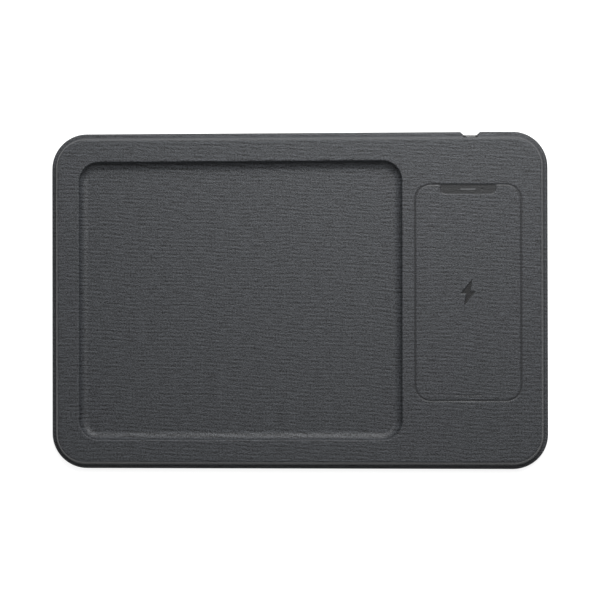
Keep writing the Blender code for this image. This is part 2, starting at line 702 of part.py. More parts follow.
def make_screws(material):
    case_mesh = screw_mesh("case_screw", CASE_SCREW, material)
    small_mesh = screw_mesh("small_screw", SMALL_SCREW, material)
    for name, (x, y) in case_screw_places().items():
        screw = placed("case_screw_" + name, case_mesh)
        screw.location = (x, y, HEAD_SEAT_Z - GAP)
    for number, (x, y) in enumerate(carrier_screw_places(), 1):
        screw = placed(f"carrier_screw_{number}", small_mesh)
        screw.location = (x, y, CARRIER_Z - GAP)
    for number, (x, y) in enumerate(board_screw_places(), 1):
        screw = placed(f"board_screw_{number}", small_mesh)
        screw.location = (x, y, BOARD_TOP_Z + GAP)
        screw.rotation_euler = (math.pi, 0.0, 0.0)


# ---------------------------------------------------------------- charger


def make_coil(material):
    """A flat spiral of flat-sided litz wire, wound outwards. It ends towards the board."""
    pitch = (COIL_OUTER_R - COIL_INNER_R) / COIL_TURNS
    width = pitch - TURN_GAP
    loops = []
    count = COIL_TURNS * COIL_STEPS_PER_TURN
    for step in range(count + 1):
        turns = step / COIL_STEPS_PER_TURN
        angle = math.pi / 2 + 2 * math.pi * turns
        out = Vector((math.cos(angle), math.sin(angle), 0.0))
        inner = COIL_INNER_R + pitch * (turns - turns / COIL_TURNS)
        foot = Vector((PHONE_X, PHONE_Y, COIL_Z)) + out * inner
        rise = Vector((0.0, 0.0, COIL_THICK))
        loops.append([foot, foot + out * width, foot + out * width + rise, foot + rise])
    return solid("charging_coil", loops, material)


def make_ferrite(material):
    outline = rounded_rectangle(FERRITE_SIDE, FERRITE_SIDE, FERRITE_CORNER, (PHONE_X, PHONE_Y))
    sheet = prism("ferrite_sheet", outline, FERRITE_Z, FERRITE_Z + FERRITE_THICK, material)
    inner, outer = CARRIER_HOLE_R, FERRITE_SIDE / 2 + CUT_PAST
    middle = (PHONE_X, PHONE_Y + (inner + outer) / 2)
    slot = block("lead_slot", middle, (FERRITE_SLOT, outer - inner), FERRITE_Z - JOIN, COIL_Z + JOIN)
    boolean(sheet, slot, "DIFFERENCE")


def make_carrier(material):
    """A square plate that is screwed up against the bosses and presses the coil to the roof."""
    middle = (PHONE_X, PHONE_Y)
    rim = rounded_rectangle(CARRIER_SIDE, CARRIER_SIDE, CARRIER_CORNER, middle)
    eye = rounded_rectangle(2 * CARRIER_HOLE_R, 2 * CARRIER_HOLE_R, CARRIER_HOLE_R - SLIVER, middle)
    low, high = CARRIER_Z, CARRIER_Z + CARRIER_THICK
    loops = [at_height(rim, low), at_height(rim, high), at_height(eye, high), at_height(eye, low)]
    plate = solid("coil_carrier", loops, material, ring=True)
    hole_r = SMALL_SCREW["shank_r"] + THREAD_ROOM
    profile = [(hole_r, low - CUT_PAST), (hole_r, high + CUT_PAST)]
    holes = [turned("hole", profile, ROUND_SIDES, place) for place in carrier_screw_places()]
    boolean(plate, joined("carrier_holes", holes), "DIFFERENCE")


def smooth_route(points, every):
    """Points along a smooth curve through the given ones, about the given distance apart."""
    route = []
    ends = [points[0] * 2 - points[1]] + points + [points[-1] * 2 - points[-2]]
    for a, b, c, d in zip(ends, ends[1:], ends[2:], ends[3:]):
        count = max(2, round((c - b).length / every))
        for step in range(count):
            t = step / count
            bend = (2 * a - 5 * b + 4 * c - d) * t**2 + (3 * b - a - 3 * c + d) * t**3
            route.append(0.5 * (2 * b + (c - a) * t + bend))
    return route + [points[-1]]


def make_lead(name, points, material):
    curve = bpy.data.curves.new(name, "CURVE")
    curve.dimensions = "3D"
    curve.bevel_depth = LEAD_R
    curve.bevel_resolution = 1
    curve.use_fill_caps = True
    route = smooth_route(points, LEAD_POINT_EVERY)
    spline = curve.splines.new("POLY")
    spline.points.add(len(route) - 1)
    for target, point in zip(spline.points, route):
        target.co = (*point, 1.0)
    curve.materials.append(material)
    lead = bpy.data.objects.new(name, curve)
    bpy.context.scene.collection.objects.link(lead)


def make_leads(material):
    """The inner lead dives through the ferrite's slot, the outer one leaves beside the coil."""
    slot_z = FERRITE_Z + FERRITE_THICK / 2
    board_front = BOARD_BACK_Y - BOARD_LENGTH
    ferrite_back = PHONE_Y + FERRITE_SIDE / 2
    middle_y = (ferrite_back + board_front) / 2
    pad_z = BOARD_TOP_Z + GAP + LEAD_R
    inner_x = PHONE_X
    inner = [
        Vector((inner_x, PHONE_Y + COIL_INNER_R - LEAD_INSIDE_COIL, COIL_Z + LEAD_OVER_COIL)),
        Vector((inner_x, PHONE_Y + COIL_INNER_R + LEAD_DIVE, slot_z)),
        Vector((inner_x, PHONE_Y + COIL_OUTER_R, slot_z)),
        Vector((inner_x, ferrite_back + LEAD_PAST_FERRITE, slot_z)),
        Vector((inner_x - LEAD_SPREAD, middle_y, (slot_z + pad_z) / 2)),
        Vector((inner_x - LEAD_SPREAD, board_front - LEAD_BEFORE_BOARD, pad_z + LEAD_RISE)),
        Vector((inner_x - LEAD_SPREAD, board_front + LEAD_ON_BOARD, pad_z)),
    ]
    outer_x = PHONE_X + LEADS_APART
    outer_z = COIL_Z + COIL_THICK / 2
    outer = [
        Vector((outer_x, PHONE_Y + COIL_OUTER_R + LEAD_OFF_COIL, outer_z)),
        Vector((outer_x, PHONE_Y + FERRITE_SIDE / 2, outer_z)),
        Vector((outer_x, ferrite_back + LEAD_PAST_FERRITE, slot_z)),
        Vector((outer_x + LEAD_SPREAD, middle_y, (slot_z + pad_z) / 2)),
        Vector((outer_x + LEAD_SPREAD, board_front - LEAD_BEFORE_BOARD, pad_z + LEAD_RISE)),
        Vector((outer_x + LEAD_SPREAD, board_front + LEAD_ON_BOARD, pad_z)),
    ]
    make_lead("coil_lead_inner", inner, material)
    make_lead("coil_lead_outer", outer, material)


# ---------------------------------------------------------------- circuit board and socket


def make_board(material):
    outline = rounded_rectangle(BOARD_WIDTH, BOARD_LENGTH, BOARD_CORNER, (PORT_X, BOARD_Y))
    board = prism("circuit_board", outline, BOARD_Z, BOARD_TOP_Z, material)
    hole_r = SMALL_SCREW["shank_r"] + THREAD_ROOM
    profile = [(hole_r, BOARD_Z - CUT_PAST), (hole_r, BOARD_TOP_Z + CUT_PAST)]
    holes = [turned("hole", profile, ROUND_SIDES, place) for place in board_screw_places()]
    boolean(board, joined("board_holes", holes), "DIFFERENCE")


def make_board_parts(chip, capacitor, inductor, lamp):
    """The parts that stand on the board, each at its place from the socket's line and board's middle."""
    parts = [(name, *given, chip) for name, given in CHIPS.items()]
    parts.append(("power_inductor", *INDUCTOR, inductor))
    for number, place in enumerate(CAPACITOR_PLACES, 1):
        parts.append((f"resonance_capacitor_{number}", place, CAPACITOR_SIZE, capacitor))
    for name, place, (width, length, height), material in parts:
        middle = (PORT_X + place[0] * MM, BOARD_Y + place[1] * MM)
        block(name, middle, (width * MM, length * MM), PART_Z, PART_Z + height * MM, material)
    block("status_lamp", (PHONE_X, SLIT_Y), LAMP_SIZE.xy, PART_Z, PART_Z + LAMP_SIZE.z, lamp)


def make_thermal_pad(material):
    """A soft square under the bridge chip, between the board and the cover."""
    (across, along), _ = CHIPS["bridge_chip"]
    middle = (PORT_X + across * MM, BOARD_Y + along * MM)
    size = (THERMAL_PAD_SIDE, THERMAL_PAD_SIDE)
    block("thermal_pad", middle, size, COVER_TOP_Z + GAP, BOARD_Z - GAP, material)


def make_light_guide(material):
    """A clear blade that fills the slit, with a glued shoulder under the roof and a stem to the lamp."""
    middle = (PHONE_X, SLIT_Y)
    top_z = TOP_Z - MARK_SINK + GUIDE_PROUD
    shoulder_top = ROOF_Z - GAP
    shoulder_foot = shoulder_top - GUIDE_SHOULDER_THICK
    blade = (SLIT_LENGTH, SLIT_WIDTH)
    guide = block("light_guide", middle, GUIDE_SHOULDER, shoulder_foot, shoulder_top, material)
    boolean(guide, block("guide_blade", middle, blade, shoulder_top - JOIN, top_z), "UNION")
    lamp_top = PART_Z + LAMP_SIZE.z
    stem = block("guide_stem", middle, GUIDE_STEM, lamp_top + GAP, shoulder_foot + JOIN)
    boolean(guide, stem, "UNION")


def make_port_bezel(material):
    """The ring that trims the fabric round the socket."""
    outer = port_outline(BEZEL_WIDTH, BEZEL_HEIGHT)
    inner = port_outline(SOCKET_WIDTH + 2 * SOCKET_ROOM, SOCKET_HEIGHT + 2 * SOCKET_ROOM)
    back_y = PAD_DEPTH / 2 - SHELL_FOOT_INSET
    loops = [along_y(outer, back_y), along_y(outer, PORT_FACE_Y)]
    loops += [along_y(inner, PORT_FACE_Y), along_y(inner, back_y)]
    solid("port_bezel", loops, material, ring=True)


def make_usb_socket(steel, plastic):
    """The socket's drawn-steel can, open to the back, and the contact tongue inside it."""
    back_y = SOCKET_FACE_Y - SOCKET_LENGTH
    outer = port_outline(SOCKET_WIDTH, SOCKET_HEIGHT)
    inner = port_outline(SOCKET_WIDTH - 2 * SOCKET_WALL, SOCKET_HEIGHT - 2 * SOCKET_WALL)
    floor_y = back_y + 2 * SOCKET_WALL
    loops = [along_y(outer, back_y), along_y(outer, SOCKET_FACE_Y)]
    loops += [along_y(inner, SOCKET_FACE_Y), along_y(inner, floor_y)]
    solid("usb_socket", loops, steel)
    tongue_front = SOCKET_FACE_Y - TONGUE_SUNK
    tongue_back = floor_y + GAP
    middle = (PORT_X, (tongue_front + tongue_back) / 2)
    size = (TONGUE_WIDTH, tongue_front - tongue_back)
    block("usb_tongue", middle, size, PORT_Z - TONGUE_THICK / 2, PORT_Z + TONGUE_THICK / 2, plastic)


def main():
    clear_scene()
    make_fabric_skin(finish("woven_grey", (0.075, 0.078, 0.085), 0.85))
    make_upper_shell(finish("shell_black", (0.02, 0.02, 0.022), 0.6))
    make_bottom_cover(finish("cover_black", (0.025, 0.025, 0.027), 0.7))
    make_feet(finish("foot_rubber", (0.012, 0.012, 0.012), 0.9))
    make_screws(finish("screw_steel", (0.35, 0.35, 0.36), 0.35, 1.0))
    make_coil(finish("litz_copper", (0.72, 0.33, 0.16), 0.35, 1.0))
    make_ferrite(finish("ferrite_grey", (0.06, 0.06, 0.065), 0.5))
    make_carrier(finish("carrier_white", (0.75, 0.75, 0.72), 0.5))
    make_leads(finish("lead_sleeve", (0.45, 0.05, 0.04), 0.5))
    make_board(finish("board_green", (0.02, 0.12, 0.05), 0.4))
    chip = finish("chip_black", (0.015, 0.015, 0.015), 0.45)
    capacitor = finish("capacitor_brown", (0.35, 0.22, 0.12), 0.5)
    inductor = finish("inductor_grey", (0.12, 0.12, 0.12), 0.6)
    lamp = finish("lamp_white", (0.85, 0.85, 0.8), 0.3)
    make_board_parts(chip, capacitor, inductor, lamp)
    make_thermal_pad(finish("thermal_blue", (0.25, 0.4, 0.6), 0.8))
    make_light_guide(finish("clear_acrylic", (0.8, 0.82, 0.85), 0.1))
    make_port_bezel(finish("bezel_black", (0.02, 0.02, 0.02), 0.4))
    make_usb_socket(finish("socket_steel", (0.6, 0.6, 0.6), 0.25, 1.0), chip)


main()
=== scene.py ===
"""Looks of a desk pad with a sunk tray and a wireless phone charger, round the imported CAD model.

The sections follow the pad as it is put together, from its cloth skin inwards, and the studio comes last.
Everything is in metres, +X to the right, +Y to the back and +Z up, with the desk at z = 0.
"""

import math

import bmesh
import bpy
import numpy as np
from mathutils import Matrix, Vector
from mathutils.geometry import delaunay_2d_cdt


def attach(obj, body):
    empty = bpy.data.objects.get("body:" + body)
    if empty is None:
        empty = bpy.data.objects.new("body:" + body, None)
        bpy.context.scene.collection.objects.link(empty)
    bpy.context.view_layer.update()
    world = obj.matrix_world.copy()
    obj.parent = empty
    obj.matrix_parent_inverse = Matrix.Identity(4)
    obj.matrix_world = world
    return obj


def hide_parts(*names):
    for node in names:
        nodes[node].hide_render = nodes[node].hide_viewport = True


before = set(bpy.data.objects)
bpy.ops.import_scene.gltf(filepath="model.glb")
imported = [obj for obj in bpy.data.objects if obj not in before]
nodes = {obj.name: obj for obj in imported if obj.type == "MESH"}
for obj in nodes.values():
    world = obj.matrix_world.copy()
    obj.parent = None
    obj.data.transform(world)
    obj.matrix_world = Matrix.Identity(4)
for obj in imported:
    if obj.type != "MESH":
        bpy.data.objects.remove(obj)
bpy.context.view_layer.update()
MM = 0.001

# ---------------------------------------------------------------------------- cloth skin
# One sheet of woven polyester with a matt polyurethane coat, 0.7 mm thick. It is glued over the moulded body
# and pressed hot in a tool, which forms the tray, the wall and the flange and sinks the phone's outline, its
# notch and a bolt into the face. The sheet's edge is turned in under the flange.

SKIN = 0.7 * MM
PAD_SIZE = np.array([328.0, 222.0]) * MM
PAD_CORNER = 23.2 * MM
UNDER_Z, LEDGE_Z, TOP_Z = 1.0 * MM, 4.4 * MM, 12.5 * MM
LEDGE_WIDTH = 2.4 * MM
WALL_LEAN = 2.7 * MM
TURN_IN = 6.6 * MM
WRAP_RADII = np.array([0.9, 1.3, 0.3, 1.2]) * MM
TOP_FLAT = 1.8 * MM

PHONE_SIZE = np.array([69.0, 141.2]) * MM
PHONE_MIDDLE = np.array([111.3, 5.0]) * MM
PHONE_CORNER = 10.0 * MM
PORT_X, PORT_Z = 113.3 * MM, 7.1 * MM
HOLE_SIZE = np.array([10.6, 4.84]) * MM
NOTCH_MOUTH, NOTCH_FLOOR, NOTCH_DEEP = 12.9 * MM, 8.2 * MM, 2.2 * MM

TRAY_SIZE = np.array([212.9, 183.2]) * MM
TRAY_MIDDLE = np.array([-38.15, 0.0]) * MM
TRAY_CORNER = 13.0 * MM
TRAY_SINK = 5.0 * MM
TRAY_LEAN = 1.2 * MM
TRAY_RADII = np.array([0.8, 5.5]) * MM


def rounded_line(corners, radii, gap, steps=8):
    """Points of a line and the normals on its left, its inner corners turned into arcs. An arc starts and
    ends at radius * tan(half the turn) from its corner, and straight stretches are cut up at about the
    gap."""
    corners = np.asarray(corners, float)
    points, normals = [corners[0]], [None]
    ends = list(zip(corners[1:], corners[2:], radii)) + [(corners[-1], corners[-1], 0.0)]
    for corner, after, radius in ends:
        come = corner - points[-1]
        come /= np.hypot(*come)
        left = np.array([-come[1], come[0]])
        normals[-1] = left
        go = after - corner if radius else come
        turn = math.atan2(come[0] * go[1] - come[1] * go[0], come @ go)
        start = corner - come * radius * math.tan(abs(turn) / 2)
        count = max(1, round(np.hypot(*(start - points[-1])) / gap))
        points += list(np.linspace(points[-1], start, count + 1)[1:])
        normals += [left] * count
        if radius:
            side = math.copysign(radius, turn)
            angles = np.linspace(0, turn, steps + 1)[1:, None]
            arms = left * np.cos(angles) - come * np.sin(angles)
            points += list(start + side * left - side * arms)
            normals += list(arms)
    return np.array(points), np.array(normals)


def rounded_path(size, corner, middle, shares, steps=18):
    """Points and outward normals anticlockwise round a rectangle with corner arcs, from the front end of its
    right side. shares holds, for the right, back, left and front side, where along it its points stand."""
    points, normals = [], []
    half = np.asarray(size) / 2 - corner
    for side, share in enumerate(shares):
        angle = side * math.pi / 2
        out = np.array([round(math.cos(angle)), round(math.sin(angle))])
        along = np.array([-out[1], out[0]])
        reach, run = abs(half @ out), abs(half @ along)
        share = np.asarray(share, float)[:, None]
        turn = angle + np.arange(1, steps)[:, None] * (math.pi / 2 / steps)
        arms = np.hstack([np.cos(turn), np.sin(turn)])
        points.append(out * (reach + corner) + along * run * (2 * share - 1))
        points.append(out * reach + along * run + arms * corner)
        normals += [np.repeat(out[None], len(share), axis=0), arms]
    return np.vstack(points) + middle, np.vstack(normals)


def even(length, gap):
    """Shares from 0 to 1, about the gap apart on a stretch of that length."""
    return np.linspace(0, 1, max(1, round(length / gap)) + 1)


def stations(stops, gaps):
    """Places from the first stop to the last, each stretch between two stops at its own spacing."""
    runs = [a + (b - a) * even(b - a, gap)[:-1] for a, b, gap in zip(stops, stops[1:], gaps)]
    return np.append(np.concatenate(runs), stops[-1])


def carried(path, out, section):
    """A section of (inset, height) carried round a path: each point is the path's point less its outward
    normal times the inset, at the section's height. The rows go along the section."""
    inset, height = np.asarray(section, float).T
    flat = path[None] - out[None] * inset[:, None, None]
    return np.dstack([flat, np.repeat(height[:, None], len(path), axis=1)])


def grid_quads(index, round_it=False):
    """Quads between neighbours in a grid of vertex numbers, also from its last column back to its first."""
    if round_it:
        index = np.hstack([index, index[:, :1]])
    return np.stack([index[:-1, :-1], index[:-1, 1:], index[1:, 1:], index[1:, :-1]], axis=-1)


def make_piece(name, vertices, faces, uv=None, values=None, sharp=35):
    """A mesh object from arrays, its faces turned outward, with a UV map and point attributes if given."""
    mesh = bpy.data.meshes.new(name)
    mesh.from_pydata(vertices.tolist(), [], faces)
    if uv is not None:
        vertex_of = np.empty(len(mesh.loops), np.int32)
        mesh.loops.foreach_get("vertex_index", vertex_of)
        mesh.uv_layers.new(name="cut_sheet").data.foreach_set("uv", uv[vertex_of].astype(np.float32).ravel())
    for label, column in (values or {}).items():
        mesh.attributes.new(label, "FLOAT", "POINT").data.foreach_set("value", column.astype(np.float32))
    shape = bmesh.new()
    shape.from_mesh(mesh)
    bmesh.ops.recalc_face_normals(shape, faces=shape.faces)
    shape.to_mesh(mesh)
    shape.free()
    mesh.shade_smooth()
    mesh.set_sharp_from_angle(angle=math.radians(sharp))
    piece = bpy.data.objects.new(name, mesh)
    bpy.context.scene.collection.objects.link(piece)
    return piece


def box_distance(x, y, middle, half, corner):
    """Distance from the edge of a rectangle with corner arcs, below zero inside it."""
    across = np.abs(x - middle[0]) - (half[0] - corner)
    along = np.abs(y - middle[1]) - (half[1] - corner)
    outside = np.hypot(np.maximum(across, 0), np.maximum(along, 0))
    return outside + np.minimum(np.maximum(across, along), 0) - corner


def polygon_distance(x, y, corners):
    """Distance from a polygon's edge, below zero inside it, where a ray to the right crosses an odd number
    of its sides."""
    nearest = np.full(x.shape, np.inf)
    inside = np.zeros(x.shape, bool)
    for (ax, ay), (bx, by) in zip(corners, np.roll(corners, -1, axis=0)):
        dx, dy = bx - ax, by - ay
        share = np.clip(((x - ax) * dx + (y - ay) * dy) / (dx * dx + dy * dy), 0, 1)
        nearest = np.minimum(nearest, np.hypot(x - ax - share * dx, y - ay - share * dy))
        if dy:
            inside ^= ((ay > y) != (by > y)) & (x < ax + (y - ay) * dx / dy)
    return np.where(inside, -nearest, nearest)


def eased(share):
    """A share held from 0 to 1 that starts and ends gently: 3 s squared less 2 s cubed."""
    share = np.clip(share, 0, 1)
    return share * share * (3 - 2 * share)


# The marks that the tool sinks into the face
GROOVE_HALF, GROOVE_SINK = 1.0 * MM, 0.35 * MM
MARK_SINK, BAR_SINK, SHOULDER = 0.45 * MM, 0.2 * MM, 0.5 * MM
MARK_NOTCH = np.array([36.7, 6.4]) * MM
MARK_NOTCH_CORNER = 3.2 * MM
SLIT_SIZE = np.array([9.7, 1.0]) * MM
SLIT_MIDDLE = PHONE_MIDDLE + np.array([0.0, 67.6]) * MM
LENS_MIDDLE, LENS_R = SLIT_MIDDLE + np.array([9.1, 0.0]) * MM, 0.8 * MM
BAR_MIDDLE, BAR_SIZE = PHONE_MIDDLE - np.array([0.0, 67.0]) * MM, np.array([19.0, 1.2]) * MM
BOLT_HALF = np.array([(2.9, 9.4), (-5.3, -0.9), (-1.7, -0.9)]) * MM
BOLT = PHONE_MIDDLE + np.vstack([BOLT_HALF, -BOLT_HALF])


def pressed_marks(x, y):
    """How far the tool sinks the face at each place, and how hard it presses there from 0 to 1. A mark
    falls to its depth over a shoulder inside its edge, and the outline is a groove with an eased section.
    The press darkens the cloth, and in the outline's groove that darkening is also painted shade."""
    edge = box_distance(x, y, PHONE_MIDDLE, PHONE_SIZE / 2, PHONE_CORNER)
    groove = eased(1 - np.abs(edge) / GROOVE_HALF)
    top = PHONE_MIDDLE[1] + PHONE_SIZE[1] / 2
    half = np.array([MARK_NOTCH[0] / 2, MARK_NOTCH[1]])
    notch = eased(-box_distance(x, y, (PHONE_MIDDLE[0], top), half, MARK_NOTCH_CORNER) / SHOULDER)
    notch = notch * eased((top + GROOVE_HALF / 2 - y) / GROOVE_HALF)
    bolt = eased(-polygon_distance(x, y, BOLT) / SHOULDER)
    bar = eased(-box_distance(x, y, BAR_MIDDLE, BAR_SIZE / 2, BAR_SIZE[1] / 2) / SHOULDER)
    lens = eased((LENS_R - np.hypot(x - LENS_MIDDLE[0], y - LENS_MIDDLE[1])) / SHOULDER)
    sink = np.maximum.reduce([groove * GROOVE_SINK, notch * MARK_SINK, bolt * MARK_SINK, bar * BAR_SINK])
    # The second value darkens the cloth's colour. In the notch, the bolt, the bar and the lens it is the
    # tool's own mark, and in the outline's groove it is partly painted shade.
    return sink + lens * BAR_SINK, np.maximum.reduce([groove * 0.7, notch * 0.8, bolt, bar * 0.6, lens])


# The pad's rim in section: the turned-in edge, the flange, the crease, the leaning wall and the top edge
TOP_INSET = LEDGE_WIDTH + WALL_LEAN
wrap_line, wrap_left = rounded_line(
    [(TURN_IN, UNDER_Z), (0, UNDER_Z), (0, LEDGE_Z), (LEDGE_WIDTH, LEDGE_Z), (TOP_INSET, TOP_Z),
     (TOP_INSET + TOP_FLAT, TOP_Z)], WRAP_RADII, 1.1 * MM)
wall_left = np.array([LEDGE_Z - TOP_Z, WALL_LEAN]) / math.hypot(TOP_Z - LEDGE_Z, WALL_LEAN)
wall_rows = np.flatnonzero(np.hypot(*(wrap_left - wall_left).T) < 1e-6)

# The tray's rim, wall and cove in section
FLOOR_Z = TOP_Z - TRAY_SINK
tray_line, tray_left = rounded_line(
    [(-1.4 * MM, TOP_Z), (0, TOP_Z), (TRAY_LEAN, FLOOR_Z), (6.4 * MM, FLOOR_Z)], TRAY_RADII, 1.1 * MM,
    steps=10)

# The lines round the pad and round the tray, closer together at the plug's notch and the socket's hole
WINDOW = 8.0 * MM
run = PAD_SIZE / 2 - PAD_CORNER
back_x = stations(
    [-run[0], -PORT_X - WINDOW, -PORT_X - NOTCH_MOUTH / 2, -PORT_X - NOTCH_FLOOR / 2,
     NOTCH_FLOOR / 2 - PORT_X, NOTCH_MOUTH / 2 - PORT_X, WINDOW - PORT_X, run[0]],
    [5 * MM, 0.5 * MM, 0.4 * MM, 0.5 * MM, 0.4 * MM, 0.5 * MM, 4 * MM])
sides = even(2 * run[1], 5 * MM)
pad_path, pad_out = rounded_path(
    PAD_SIZE, PAD_CORNER, (0, 0), [sides, (back_x / run[0] + 1) / 2, sides, even(2 * run[0], 5 * MM)])
tray_run = TRAY_SIZE - 2 * TRAY_CORNER
tray_path, tray_out = rounded_path(
    TRAY_SIZE, TRAY_CORNER, TRAY_MIDDLE, [even(tray_run[k], 6 * MM) for k in (1, 0, 1, 0)], steps=16)
back_side = pad_out[:, 1] > 0.9999
window_columns = np.flatnonzero(back_side & (np.abs(pad_path[:, 0] - PORT_X) < WINDOW + 0.01 * MM))
from_port = np.abs(pad_path[:, 0] - PORT_X)
notch_share = np.clip((NOTCH_MOUTH / 2 - from_port) / ((NOTCH_MOUTH - NOTCH_FLOOR) / 2), 0, 1)
notch_cut = np.where(back_side, NOTCH_DEEP * notch_share, 0.0)

# The lines of the grid over the phone's place, closest at its outline, its notch and the bolt
FINE, MIDDLING, COARSE = 0.3 * MM, 0.5 * MM, 2.5 * MM
reach_x, reach_y = PHONE_SIZE / 2 + 1.5 * MM
slit_x, slit_y = SLIT_SIZE / 2 + 0.03 * MM
x_lines = PHONE_MIDDLE[0] + stations(
    [-reach_x, -reach_x + 3 * MM, -reach_x + 12 * MM, -19.5 * MM, -slit_x, slit_x, 19.5 * MM,
     reach_x - 12 * MM, reach_x - 3 * MM, reach_x],
    [FINE, MIDDLING, COARSE, MIDDLING, FINE, MIDDLING, COARSE, MIDDLING, FINE])
slit_from_middle = SLIT_MIDDLE[1] - PHONE_MIDDLE[1]
y_lines = PHONE_MIDDLE[1] + stations(
    [-reach_y, -reach_y + 6 * MM, -reach_y + 12 * MM, -10 * MM, 10 * MM, reach_y - 12 * MM,
     slit_from_middle - slit_y, slit_from_middle + slit_y, reach_y],
    [FINE, MIDDLING, COARSE, FINE, COARSE, FINE, FINE, FINE])
mark_x, mark_y = np.meshgrid(x_lines, y_lines, indexing="ij")
mark_sink, mark_press_and_shade = pressed_marks(mark_x, mark_y)
HOLE_RINGS = 6


def ring_of(rows, columns):
    """The grid places round a block of rows and columns, as two lists of numbers."""
    first, last = rows[0], rows[-1]
    left, right = columns[0], columns[-1]
    row = [np.full(len(columns), first), rows[1:], np.full(len(columns) - 1, last), rows[-2:0:-1]]
    column = [columns, np.full(len(rows) - 1, right), columns[-2::-1], np.full(len(rows) - 2, left)]
    return np.concatenate(row), np.concatenate(column)


window = ring_of(wall_rows, window_columns)


def skin_layer(depth):
    """The vertices of one layer of the sheet, depth below its face: the rim's grid, the tray's grid, the
    grid of marks, and rings on the wall from the window's edge to the socket's hole. A ring's place is
    shared out between the window's edge and the nearest point of the hole, and it lies in the wall's
    plane."""
    section = wrap_line - wrap_left * depth
    rim = carried(pad_path, pad_out, section)
    reach = np.where(wrap_line[:, 1] < UNDER_Z + 0.3 * MM, TURN_IN, LEDGE_WIDTH + depth)
    rim[..., :2] -= pad_out * (notch_cut * np.clip(1 - section[:, :1] / reach[:, None], 0, 1))[..., None]
    tray = carried(tray_path, tray_out, tray_line - tray_left * depth)
    marks = np.dstack([mark_x, mark_y, TOP_Z - (np.full_like(mark_sink, depth) if depth else mark_sink)])
    edge = rim[window]
    core = (HOLE_SIZE[0] - HOLE_SIZE[1]) / 2
    nearest = np.clip(edge[:, [0, 2]], (PORT_X - core, PORT_Z), (PORT_X + core, PORT_Z))
    arm = edge[:, [0, 2]] - nearest
    hole = nearest + arm / np.hypot(*arm.T)[:, None] * HOLE_SIZE[1] / 2
    share = np.linspace(0, 1, HOLE_RINGS + 1)[1:, None, None]
    x, z = np.moveaxis(edge[:, [0, 2]] * (1 - share) + hole * share, -1, 0)
    low, high = edge[0], edge[len(window_columns) + len(wall_rows) - 1]
    rings = np.dstack([x, low[1] + (high[1] - low[1]) * (z - low[2]) / (high[2] - low[2]), z])
    return rim, tray, marks, rings


def unrolled():
    """Where each vertex lies on the flat sheet. The top keeps its place, the rim is laid flat outward by
    its length along the section, and the tray's wall is as wide as it looks from above, the cloth being
    stretched."""
    along = np.cumsum(np.hypot(*np.diff(wrap_line[::-1], axis=0, prepend=wrap_line[-1:]).T))[::-1]
    rim = pad_path + pad_out * (along - TOP_INSET - TOP_FLAT)[:, None, None]
    along = np.cumsum(np.hypot(*np.diff(tray_line, axis=0, prepend=tray_line[:1]).T))
    inset = tray_line[0, 0] + (tray_line[-1, 0] - tray_line[0, 0]) * along / along[-1]
    tray = tray_path - tray_out * inset[:, None, None]
    marks = np.dstack([mark_x, mark_y])
    share = np.linspace(0, 1, HOLE_RINGS + 1)[1:, None, None]
    edge = rim[window]
    rings = edge * (1 - share) + edge.mean(axis=0) * share
    return np.vstack([part.reshape(-1, 2) for part in (rim, tray, marks, rings)])


def flat_between(loops, places):
    """Triangles over the flat region between loops of vertex numbers, the first being the outer one."""
    numbers = np.concatenate(loops)
    starts = np.cumsum([0] + [len(loop) for loop in loops])
    edges = [np.stack([a + np.arange(n), a + np.roll(np.arange(n), -1)], axis=1)
             for a, n in zip(starts, map(len, loops))]
    made = delaunay_2d_cdt([Vector(p) for p in places[numbers]], np.vstack(edges).tolist(), [], 1, 1e-9)
    source = np.array([inputs[0] for inputs in made[3]])
    triangles = source[np.array(made[2])]
    loop_of = np.searchsorted(starts, triangles, side="right") - 1
    across = (loop_of[:, 0] == loop_of[:, 1]) & (loop_of[:, 1] == loop_of[:, 2]) & (loop_of[:, 0] > 0)
    return numbers[triangles[~across]]


def build_skin():
    """The sheet as one closed mesh: its face and its back have the same faces, joined by quads along every
    edge that only one face uses, which are the turned-in edge, the slit and the socket's hole."""
    layers = [skin_layer(0.0), skin_layer(SKIN)]
    starts = np.cumsum([0] + [part.shape[0] * part.shape[1] for part in layers[0]])
    rim, tray, marks, rings = (
        a + np.arange(part.shape[0] * part.shape[1]).reshape(part.shape[:2])
        for a, part in zip(starts, layers[0]))
    points = [np.vstack([part.reshape(-1, 3) for part in layer]) for layer in layers]
    rim_quads = grid_quads(rim, round_it=True)
    kept = np.ones(rim_quads.shape[:2], bool)
    kept[wall_rows[0]:wall_rows[-1], window_columns[:-1]] = False
    cell_x, cell_y = (
        np.abs((line[:-1] + line[1:]) / 2 - at) for line, at in zip((x_lines, y_lines), SLIT_MIDDLE))
    outside = ~((cell_x < slit_x)[:, None] & (cell_y < slit_y)[None])
    hole_rings = np.vstack([rim[window], rings])
    quads = np.vstack([
        rim_quads[kept], grid_quads(tray, round_it=True).reshape(-1, 4), grid_quads(marks)[outside],
        grid_quads(hole_rings, round_it=True).reshape(-1, 4)])
    around_marks = marks[ring_of(np.arange(len(x_lines)), np.arange(len(y_lines)))]
    flat = flat_between([rim[-1], tray[0], around_marks], points[0][:, :2])
    floor = tray[-1]
    edges = np.vstack([
        np.stack([f, np.roll(f, -1, axis=1)], axis=-1).reshape(-1, 2) for f in (quads, flat, floor[None])])
    pairs, uses = np.unique(np.sort(edges, axis=1), axis=0, return_counts=True)
    rims = pairs[uses == 1]
    count = len(points[0])
    sewn = np.hstack([rims, rims[:, ::-1] + count])
    faces = []
    for shift in (0, count):
        faces += (quads + shift).tolist() + (flat + shift).tolist() + [(floor + shift).tolist()]
    faces += sewn.tolist()
    # Press value at each vertex of the marks, which darkens the colour; in the outline's groove part of it
    # is painted shade
    press_and_shade = np.zeros(count)
    press_and_shade[marks] = mark_press_and_shade
    skin_uv = unrolled()
    return make_piece("woven_skin", np.vstack(points), faces, np.vstack([skin_uv, skin_uv]),
                      {"press_and_shade": np.tile(press_and_shade, 2)})


